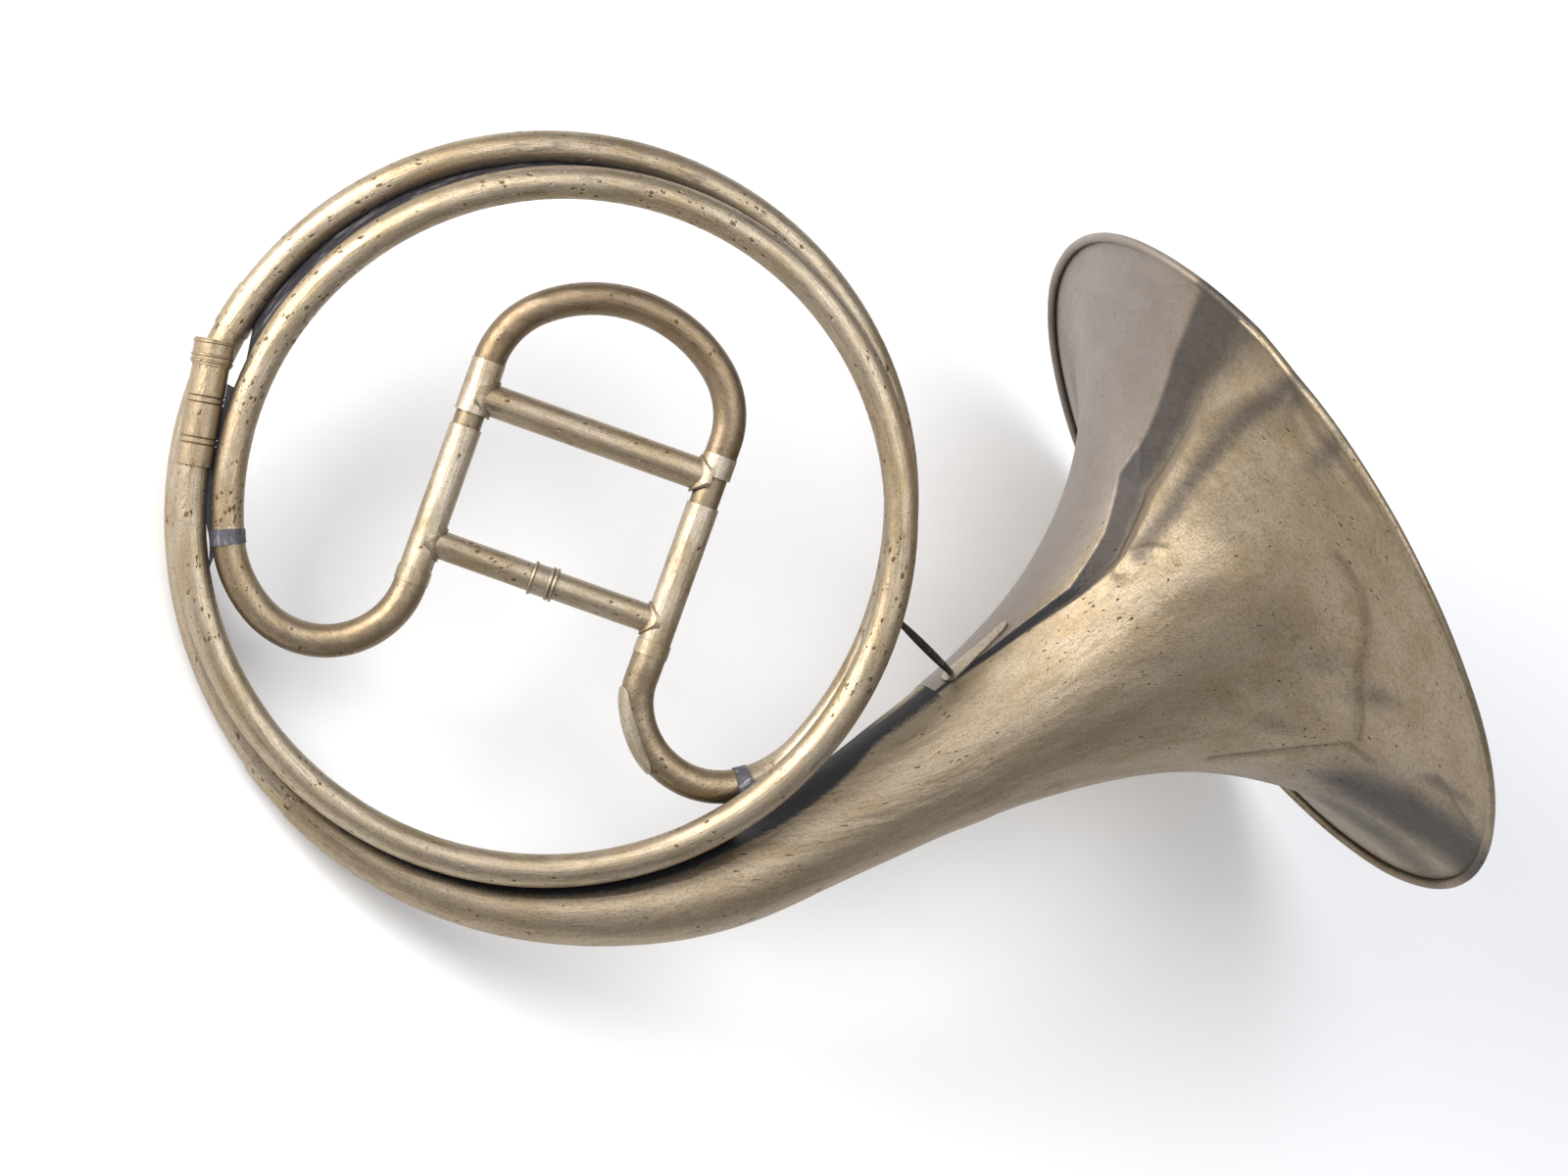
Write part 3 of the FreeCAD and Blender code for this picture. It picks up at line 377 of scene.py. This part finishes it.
def paint_branch(graph, base, freckle):
    """Painted black shade where the branch passes close to the hoop, running on towards the flare."""
    distance, degrees, _ = bell_places(graph)
    turned = graph.math("ADD", degrees, graph.math("MULTIPLY_ADD", freckle, 16.0, -8.0))
    edge = graph.math(
        "MULTIPLY", graph.between(turned, 10.0, 20.0), graph.between(turned, 47.0, 36.0)
    )
    beside_flare = graph.math("MULTIPLY", edge, graph.between(distance, 222.0, 198.0))
    ring = graph.add("ShaderNodeSeparateXYZ", {"Vector": along_ring(graph)}).outputs
    reach = graph.math("MULTIPLY_ADD", graph.between(ring[0], -150.0, -72.0), 7.5, 142.5)
    over = graph.math("SUBTRACT", ring[1], reach)
    over = graph.math("ADD", over, graph.math("MULTIPLY_ADD", freckle, 3.0, -1.5))
    beside_hoop = graph.math(
        "MULTIPLY", graph.between(over, 1.2, -1.2), graph.between(ring[0], -58.0, -78.0)
    )
    black = graph.math("MULTIPLY", graph.math("MAXIMUM", beside_flare, beside_hoop), 0.96)
    return base, black


def crowd_hoop_pits(graph, metal):
    """Stretches of the front turn's top that are thickly pitted."""
    ring = graph.add("ShaderNodeSeparateXYZ", {"Vector": metal}).outputs
    whole = 0.0
    for first, last in PITTED_STRETCHES:
        start, end = math.radians(first) * HOOP_R_MM, math.radians(last) * HOOP_R_MM
        inside = graph.between(ring[0], start - 6.0, start + 6.0)
        inside = graph.math("MULTIPLY", inside, graph.between(ring[0], end + 6.0, end - 6.0))
        whole = graph.math("MAXIMUM", inside, whole)
    return graph.math("MULTIPLY", whole, graph.between(ring[1], 139.0, 136.0))


def blackened(name, base=(0.02, 0.019, 0.024), grey=(0.16, 0.145, 0.15), metallic=0.25, grain=0.6):
    """Oxidised solder or iron: black, with grey worn places and a crusty surface."""
    graph = Graph(name)
    metal = along_ring(graph)
    crust = graph.noise(metal, grain, 4.0, 0.65)
    rubbed = graph.noise(graph.stretched(metal, 0.2, 1.0, 1.0), 0.5, 3.0, 0.6)
    tone = graph.mix(graph.between(rubbed, 0.50, 0.75), base, grey)
    rough = graph.math("MULTIPLY_ADD", crust, 0.3, 0.45)
    bump = graph.add("ShaderNodeBump", {"Height": crust, "Distance": 0.3 * MM, "Strength": 0.8})
    shader = graph.add("ShaderNodeBsdfPrincipled", {"Metallic": metallic})
    graph.put(shader.inputs["Base Color"], tone)
    graph.put(shader.inputs["Roughness"], rough)
    graph.put(shader.inputs["Normal"], bump.outputs[0])
    out = graph.add("ShaderNodeOutputMaterial")
    graph.put(out.inputs["Surface"], shader.outputs[0])
    return graph.material


def make_materials():
    handled = (0.56, 0.48, 0.375)
    darker = {"pale": (0.33, 0.26, 0.175), "warm": (0.26, 0.19, 0.11)}
    sheet = {"pale": (0.37, 0.30, 0.21), "warm": (0.31, 0.24, 0.15)}
    return {
        "hoop": aged_brass("hoop_brass", along_ring, pits=0.75, crowded=crowd_hoop_pits),
        "legs": aged_brass("leg_brass", along_legs, pits=0.35, pale=handled),
        "stays": aged_brass("stay_brass", along_stays, pits=0.55),
        "goosenecks": aged_brass("gooseneck_brass", along_ring, pits=0.5, patina=0.6, **darker),
        "bow": aged_brass(
            "bow_brass", along_ring, pits=0.35, patina=0.9, tarnished=0.8,
            pale=(0.27, 0.20, 0.13), warm=(0.20, 0.14, 0.075),
        ),
        "ferrules": aged_brass("ferrule_brass", along_legs, pits=0.2, pale=handled, dull=0.28),
        "inner legs": aged_brass(
            "inner_leg_brass", along_legs, pits=0.3, pale=(0.28, 0.22, 0.14), warm=(0.18, 0.12, 0.055)
        ),
        "socket": aged_brass(
            "socket_brass", along_ring, pits=0.15, dull=0.26, streaks=0.6,
            pale=(0.36, 0.28, 0.18), warm=(0.28, 0.20, 0.115),
        ),
        "plates": aged_brass("plate_brass", along_ring, pits=0.2, pale=handled, warm=PALE, dull=0.34),
        "bell": aged_brass(
            "bell_brass", along_bell, pits=0.45, patina=0.75, dull=0.38, pit_size=0.36, corner_shade=0.9,
            tarnished=0.3, painted=paint_bell, **sheet,
        ),
        "branch": aged_brass(
            "branch_brass", along_branch, pits=0.5, patina=0.7, dull=0.36, pit_size=0.42,
            tarnished=0.3, painted=paint_branch, **sheet,
        ),
        # black solder for the ties, also laid on the turn webs that stand in for shade
        "solder": blackened("black_solder_and_slot_shade"),
        "grey solder": blackened("grey_solder", (0.09, 0.085, 0.10), (0.38, 0.36, 0.38), 0.7),
        "iron": blackened("dark_iron", (0.030, 0.022, 0.016), (0.14, 0.11, 0.08), 0.5),
    }


NODE_LOOKS = {
    "hoop": (
        "front_turn_tube", "back_turn_upper_tube", "back_turn_lower_tube", "back_turn_ferrule",
        "bell_sleeve",
    ),
    "goosenecks": ("left_gooseneck", "right_gooseneck"),
    "plates": ("gooseneck_guard_plate", "bell_stay_plate"),
    "legs": ("left_outer_leg", "right_outer_leg", "left_leg_ring", "right_leg_ring"),
    "stays": (
        "fixed_stay_left_half", "fixed_stay_right_half", "fixed_stay_ferrule",
        "fixed_stay_left_saddle", "fixed_stay_right_saddle", "slide_stay",
        "slide_stay_left_saddle", "slide_stay_right_saddle",
    ),
    "bow": ("slide_bow",),
    "ferrules": ("slide_left_ferrule", "slide_right_ferrule"),
    "inner legs": ("slide_left_inner_leg", "slide_right_inner_leg"),
    "socket": ("receiver_socket", "receiver_collar"),
    "branch": ("bell_tail",),
    "bell": ("bell_rim_wire", "bell_stay_hoop_pad"),
    "grey solder": ("left_gooseneck_band", "right_gooseneck_band"),
    # painted shade: the three turn webs are black sheets standing in for the shade in the slots between
    # the turns; the ties are solder
    "solder": (
        "receiver_tie", "turn_tie_upper", "turn_tie_lower", "upper_turn_web", "lower_turn_web",
        "left_turn_web",
    ),
    "iron": ("bell_stay_rod",),
}


def dress_nodes(materials):
    for look, names in NODE_LOOKS.items():
        for name in names:
            piece = nodes[name]
            piece.data.materials.clear()
            piece.data.materials.append(materials[look])


# ---- the dented bell ----------------------------------------------------------------------------
ROUND_STEPS = 560
SHEET_STEPS = 170
CURL_STEPS = 12
# Each crease: its line as (distance from the mouth, degrees round from the hoop's side to the
# front), its depth inwards, and its half width, both in millimetres.
CREASES = (
    (((15, 94), (13.5, 102), (15, 108), (21, 120), (22.5, 128), (25.5, 144)), 1.1, 2.2),
    (((69, 162), (49, 155), (38, 150), (28, 145.5), (22, 151)), 1.1, 1.8),
    (((9.5, 148), (6, 154), (3, 158)), 1.3, 2.8),
    (((3, 66), (4.5, 74), (4, 80), (3, 88)), 0.9, 3.5),
    (((44, 37.5), (38, 34.5)), 0.5, 1.6),
    (((64, 58), (60, 60), (55, 66)), 0.5, 1.4),
)
RIDGES = (
    (((70, 57), (72, 60)), 0.8, 2.2),
    (((66, 52), (60, 50), (54, 49)), 0.4, 1.8),
)
# The long fold runs from the rim to the throat: the sheet breaks at its edge, slopes down to a
# valley, and climbs to a sharp ridge. Places are (distance from the mouth, degrees).
FOLD_EDGE = ((145, 33), (112, 39), (88, 45.5), (66, 40), (48, 30), (35, 34), (15, 36), (0, 41))
FOLD_RIDGE = ((145, 40), (112, 48), (88, 55), (70, 58), (46, 51), (31, 51.5), (18, 53), (6, 62), (0, 66))
FOLD_DEPTH = ((150, 0.0), (125, 1.5), (88, 2.6), (60, 3.6), (30, 4.0), (12, 3.0), (0, 0.8))
FOLD_VALLEY = 0.62  # where the valley lies between the edge and the ridge
FOLD_RISE = 0.45  # the ridge's height, as a part of the valley's depth
FOLD_FADE = 9.0  # how far past the ridge the sheet comes back to its shape
# painted shade on the fold's dark slope, its strength by distance from the mouth
FOLD_SHADE = ((0, 0.70), (20, 0.72), (40, 0.76), (60, 0.84), (85, 1.0), (110, 1.15), (150, 1.15))
# patina patches; the three by the lower rim, round 166 to 188 degrees, are painted shade over patina
STAINS_AND_SHADE = (
    # centre (distance, degrees), radius, strength
    ((9, 167), 28.0, 0.92), ((24, 166), 16.0, 0.75), ((14, 188), 24.0, 0.60),
    ((30, 118), 9.0, 0.35), ((39, 105), 12.0, 0.30),
    ((20, 128), 8.0, 0.45), ((8, 150), 8.0, 0.45), ((48, 140), 10.0, 0.35), ((4, 78), 7.0, 0.55),
    ((2, 68), 6.0, 0.55), ((10, 330), 30.0, 0.35), ((60, 250), 25.0, 0.35),
)
# a second, softer band of painted shade below the fold: its line, half width and strength
BAND_LINE = ((0, 67), (6, 64.5), (15, 60.5), (26, 58.5), (38, 58), (51, 59), (62, 60))
BAND_HALF_WIDTH = 6.5
BAND_STRENGTH = 0.55
CREASE_SHADE = 0.38  # painted shade along a crease, for each millimetre of its depth
HOLLOWS = (
    # centre (distance, degrees), depth, radius
    ((40, 74), 1.3, 13.0), ((8, 172), 1.6, 16.0), ((9, 150), 0.9, 9.0), ((26, 105), 0.6, 14.0),
    ((34, 130), 0.7, 12.0), ((10, 70), 1.0, 10.0), ((20, 250), 1.0, 18.0), ((45, 300), 0.9, 12.0),
    ((14, 330), 1.1, 14.0), ((85, 95), 0.4, 9.0), ((30, 205), 0.8, 13.0),
)


def spline_table(points, steps):
    """A natural cubic through the profile's points, evenly sampled along its length."""
    x = np.array([p[0] for p in points], float)
    y = np.array([p[1] for p in points], float)
    chord = np.concatenate(([0.0], np.cumsum(np.hypot(np.diff(x), np.diff(y)))))
    n = len(points)
    h = np.diff(chord)
    system = np.zeros((n, n))
    system[0, 0] = system[-1, -1] = 1.0
    for i in range(1, n - 1):
        system[i, i - 1: i + 2] = h[i - 1], 2 * (h[i - 1] + h[i]), h[i]
    fine = np.linspace(0, chord[-1], steps * 8)
    span = np.clip(np.searchsorted(chord, fine, side="right") - 1, 0, n - 2)
    out = []
    for values in (x, y):
        side = np.zeros(n)
        side[1:-1] = 6 * (np.diff(values)[1:] / h[1:] - np.diff(values)[:-1] / h[:-1])
        bend = np.linalg.solve(system, side)
        t = fine - chord[span]
        u = chord[span + 1] - fine
        w = h[span]
        cubic = (bend[span] * u**3 + bend[span + 1] * t**3) / (6 * w)
        linear = (values[span] / w - bend[span] * w / 6) * u
        linear += (values[span + 1] / w - bend[span + 1] * w / 6) * t
        out.append(cubic + linear)
    return np.array(out)


def flare_section():
    """Distance, radius and outward normal of the flare's outer face, from the mouth to the tail."""
    distance, radius = spline_table(BELL_PROFILE_MM, SHEET_STEPS)
    keep = distance <= TAIL_JOINT_MM + JOINT_LAP_MM
    distance, radius = distance[keep], radius[keep]
    walked = np.concatenate(([0.0], np.cumsum(np.hypot(np.diff(distance), np.diff(radius)))))
    even = np.linspace(0, walked[-1], SHEET_STEPS)
    distance = np.interp(even, walked, distance)
    radius = np.interp(even, walked, radius)
    slope = np.gradient(distance, even), np.gradient(radius, even)
    size = np.hypot(*slope)
    normal = np.stack((-slope[1] / size, slope[0] / size), axis=1)
    return distance, radius, normal, even


def line_distance(walk, angle, radius, points, profile):
    """Shortest distance in the sheet, in millimetres, from each place to a line of points."""
    distances, walked = profile
    line = [(np.interp(d, distances, walked), math.radians(a)) for d, a in points]
    best = np.full(walk.shape, 1e9)
    for (s0, a0), (s1, a1) in zip(line[:-1], line[1:]):
        px, py = walk - s0, wrapped(angle - a0) * radius
        qx, qy = s1 - s0, wrapped(a1 - a0) * radius
        t = np.clip((px * qx + py * qy) / (qx**2 + qy**2), 0, 1)
        best = np.minimum(best, np.hypot(px - t * qx, py - t * qy))
    return best


def wrapped(angle):
    return (angle + math.pi) % (2 * math.pi) - math.pi


def fold_field(distance, angle, radius):
    """The long fold's shape, in millimetres outwards."""
    def along(points):
        d, value = np.array(sorted(points)).T
        return np.interp(distance, d, value)

    edge = np.radians(along(FOLD_EDGE))
    ridge = np.radians(along(FOLD_RIDGE))
    depth = along(FOLD_DEPTH)
    place = wrapped(angle - edge) / (ridge - edge)
    down = np.clip(place / FOLD_VALLEY, 0, 1)
    up = np.clip((place - FOLD_VALLEY) / (1 - FOLD_VALLEY), 0, 1)
    past = np.maximum(wrapped(angle - ridge), 0) * radius
    fade = np.exp(-((past / FOLD_FADE) ** 2))
    shape = -(down**1.2) * (1 - up) + FOLD_RISE * up * fade
    return shape * depth * (place > 0)


def dent_field(distance, angle, radius, walk, profile):
    """How far the sheet is pushed outwards at each place, in millimetres."""
    push = fold_field(distance, angle, radius)
    for points, depth, width in CREASES:
        away = line_distance(walk, angle, radius, points, profile)
        push -= depth * np.exp(-((away / width) ** 2))
    for points, height, width in RIDGES:
        away = line_distance(walk, angle, radius, points, profile)
        push += height * np.exp(-((away / width) ** 2))
    for (place, degrees), depth, width in HOLLOWS:
        s0 = np.interp(place, *profile)
        away = np.hypot(walk - s0, wrapped(angle - math.radians(degrees)) * radius)
        push -= depth * np.exp(-((away / width) ** 2))
    waves = (
        (3, 0.021, 0.4, 0.35), (5, 0.034, 1.9, 0.28), (8, 0.055, 4.1, 0.18),
        (13, 0.083, 2.6, 0.10), (21, 0.127, 5.2, 0.05),
    )
    for count, rate, phase, size in waves:
        push += size * np.sin(count * angle + phase) * np.cos(rate * walk + phase * 1.7)
    joint = np.clip((TAIL_JOINT_MM - distance) / 28.0, 0, 1)
    return push * joint * joint * (3 - 2 * joint) + JOINT_PROUD_MM


def stain_and_shade_field(distance, angle, radius, walk, profile):
    """Painted shade and patina on the flare, from 0 to 1: painted shade along the fold's slope, the band
    below it and the creases, and patina in patches, some of them painted shade.
    """
    d, edge = np.array(sorted(FOLD_EDGE)).T
    lowest = np.interp(distance, d, edge)
    d, ridge = np.array(sorted(FOLD_RIDGE)).T
    highest = np.interp(distance, d, ridge)
    place = (np.degrees(wrapped(angle)) - lowest) / (highest - lowest)
    slope = np.clip(place / 0.10, 0, 1) * np.clip((0.95 - place) / 0.50, 0, 1)
    d, strength = np.array(FOLD_SHADE).T
    stain_and_shade = slope * np.interp(distance, d, strength)
    away = line_distance(walk, angle, radius, BAND_LINE, profile)
    stain_and_shade = np.maximum(stain_and_shade, BAND_STRENGTH * np.exp(-((away / BAND_HALF_WIDTH) ** 2)))
    for points, depth, width in CREASES:
        away = line_distance(walk, angle, radius, points, profile)
        stain_and_shade = np.maximum(stain_and_shade, CREASE_SHADE * depth * np.exp(-((away / (0.7 * width)) ** 2)))
    for (place, degrees), size, strength in STAINS_AND_SHADE:
        away = np.hypot(distance - place, wrapped(angle - math.radians(degrees)) * radius)
        stain_and_shade = np.maximum(stain_and_shade, strength * np.exp(-((away / size) ** 2)))
    return stain_and_shade


def bell_mesh():
    distance, radius, normal, walk = flare_section()
    angles = np.arange(ROUND_STEPS) * (2 * math.pi / ROUND_STEPS)
    angle = angles[None, :]
    profile = (distance, walk)
    push = dent_field(distance[:, None], angle, radius[:, None], walk[:, None], profile)

    rows = []
    outer = np.stack((distance, radius), axis=1)
    for i in range(len(outer) - 1, -1, -1):
        rows.append((outer[i], normal[i], i))
    # the rolled rim: the edge turns outwards round the wire and ends near the sheet again
    centre = outer[0] + normal[0] * RIM_WIRE_R_MM
    arm = -normal[0]
    for reach, order in ((RIM_WIRE_R_MM, 1), (RIM_WIRE_R_MM + SHEET_MM, -1)):
        curl = []
        for k in range(CURL_STEPS + 1):
            turn = math.radians(RIM_CURL_DEGREES) * k / CURL_STEPS
            c, s = math.cos(-turn), math.sin(-turn)
            spun = np.array((arm[0] * c - arm[1] * s, arm[0] * s + arm[1] * c))
            curl.append((centre + spun * reach, normal[0], 0))
        rows += curl[1:] if order > 0 else curl[::-1]
    for i in range(1, len(outer)):
        rows.append((outer[i] - normal[i] * SHEET_MM, normal[i], i))

    stain_and_shade = stain_and_shade_field(distance[:, None], angle, radius[:, None], walk[:, None], profile)
    basis = np.array((-mouth_axis, hoopwards, frontwards))
    verts = []
    for (place, size), (nd, nr), i in rows:
        d = place + nd * push[i]
        r = size + nr * push[i]
        local = np.stack((np.broadcast_to(d, r.shape), r * np.cos(angles), r * np.sin(angles)), axis=1)
        verts.append(local @ basis * MM + np.array(mouth_centre))
    verts = np.concatenate(verts)
    count = len(rows)
    faces = []
    for i in range(count):
        a, b = i * ROUND_STEPS, ((i + 1) % count) * ROUND_STEPS
        for j in range(ROUND_STEPS):
            k = (j + 1) % ROUND_STEPS
            faces.append((a + j, a + k, b + k, b + j))
    mesh = bpy.data.meshes.new("bell_flare_dented")
    mesh.from_pydata(verts.tolist(), [], faces)
    mesh.update()
    # the patina attribute carries both patina and painted shade
    patina = mesh.attributes.new("patina", "FLOAT", "POINT")
    patina.data.foreach_set("value", np.concatenate([stain_and_shade[i] for _, _, i in rows]).astype(np.float32))
    return mesh


def make_bell(materials):
    mesh = bell_mesh()
    bell = bpy.data.objects.new("bell_flare_dented", mesh)
    bpy.context.scene.collection.objects.link(bell)
    mesh.materials.append(materials["bell"])
    make_normals_outward(mesh)
    mesh.polygons.foreach_set("use_smooth", [True] * len(mesh.polygons))
    mesh.set_sharp_from_angle(angle=math.radians(50))
    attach(bell, HORN)
    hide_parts("bell_flare")
    return bell


def make_normals_outward(mesh):
    """Turns every face over if the closed shell's volume comes out negative."""
    points = np.array([v.co for v in mesh.vertices])
    quads = np.array([p.vertices[:] for p in mesh.polygons])
    a, b, c = points[quads[:, 0]], points[quads[:, 1]], points[quads[:, 2]]
    d = points[quads[:, 3]]
    volume = (np.cross(a, b) * c).sum() + (np.cross(a, c) * d).sum()
    if volume < 0:
        mesh.flip_normals()


# ---- floor, light and camera ----------------------------------------------------------------------
FLOOR_SIZE = 12.0
CAMERA_MM = (88.6, -3000.0, -23.75)
SENSOR_WIDTH = 36.0
SEEN_WIDTH_MM = 603.2  # of the hoop's plane


def make_floor():
    graph = Graph("pale_floor")
    place = graph.add("ShaderNodeTexCoord").outputs["Object"]
    tone = graph.mix(graph.noise(place, 3.0), (0.93, 0.928, 0.92), (0.95, 0.947, 0.94))
    shader = graph.add("ShaderNodeBsdfPrincipled", {"Roughness": 0.85, "Base Color": tone})
    out = graph.add("ShaderNodeOutputMaterial")
    graph.put(out.inputs["Surface"], shader.outputs[0])
    half = FLOOR_SIZE / 2
    mesh = bpy.data.meshes.new("floor")
    corners = [(-half, -half, 0), (half, -half, 0), (half, half, 0), (-half, half, 0)]
    mesh.from_pydata(corners, [], [(0, 1, 2, 3)])
    mesh.materials.append(graph.material)
    floor = bpy.data.objects.new("floor", mesh)
    floor.location.z = -0.0005
    bpy.context.scene.collection.objects.link(floor)


def make_world():
    world = bpy.data.worlds.new("studio")
    bpy.context.scene.world = world
    world.use_nodes = True
    background = world.node_tree.nodes["Background"]
    tree = world.node_tree
    place = tree.nodes.new("ShaderNodeTexCoord")
    split = tree.nodes.new("ShaderNodeSeparateXYZ")
    fade = tree.nodes.new("ShaderNodeMapRange")
    tone = tree.nodes.new("ShaderNodeMix")
    tone.data_type = "RGBA"
    tone.inputs["A"].default_value = (0.10, 0.10, 0.105, 1.0)
    tone.inputs["B"].default_value = (0.72, 0.73, 0.77, 1.0)
    tree.links.new(place.outputs["Generated"], split.inputs[0])
    tree.links.new(split.outputs["Z"], fade.inputs["Value"])
    tree.links.new(fade.outputs[0], tone.inputs["Factor"])
    tree.links.new(tone.outputs["Result"], background.inputs["Color"])


def make_light(name, place, size, power, tint):
    """A soft square light, placed in the hoop frame and turned towards the horn."""
    data = bpy.data.lights.new(name, "AREA")
    data.shape = "SQUARE"
    data.size = size
    data.energy = power
    data.color = tint
    light = bpy.data.objects.new(name, data)
    bpy.context.scene.collection.objects.link(light)
    light.location = hoop_point(*place)
    target = hoop_point(90, 40, -20)
    light.rotation_euler = (target - light.location).to_track_quat("-Z", "Y").to_euler()


def make_camera():
    data = bpy.data.cameras.new("camera")
    data.sensor_width = SENSOR_WIDTH
    data.lens = SENSOR_WIDTH * -CAMERA_MM[1] / SEEN_WIDTH_MM
    data.clip_end = 50.0
    camera = bpy.data.objects.new("camera", data)
    bpy.context.scene.collection.objects.link(camera)
    right = hoop_direction(1, 0, 0)
    up = hoop_direction(0, 0, 1)
    back = hoop_direction(0, -1, 0)
    turn = Matrix((right, up, back)).transposed()
    camera.matrix_world = Matrix.Translation(hoop_point(*CAMERA_MM)) @ turn.to_4x4()
    bpy.context.scene.camera = camera


def set_view():
    view = bpy.context.scene.view_settings
    view.view_transform = "Standard"
    view.look = "None"


materials = make_materials()
dress_nodes(materials)
make_bell(materials)
make_floor()
make_world()
make_light("key", (-1000, -1100, 900), 1.0, 46.0, (1.0, 0.985, 0.96))
make_light("fill", (900, -1500, 500), 1.4, 19.0, (0.95, 0.97, 1.0))
make_camera()
set_view()
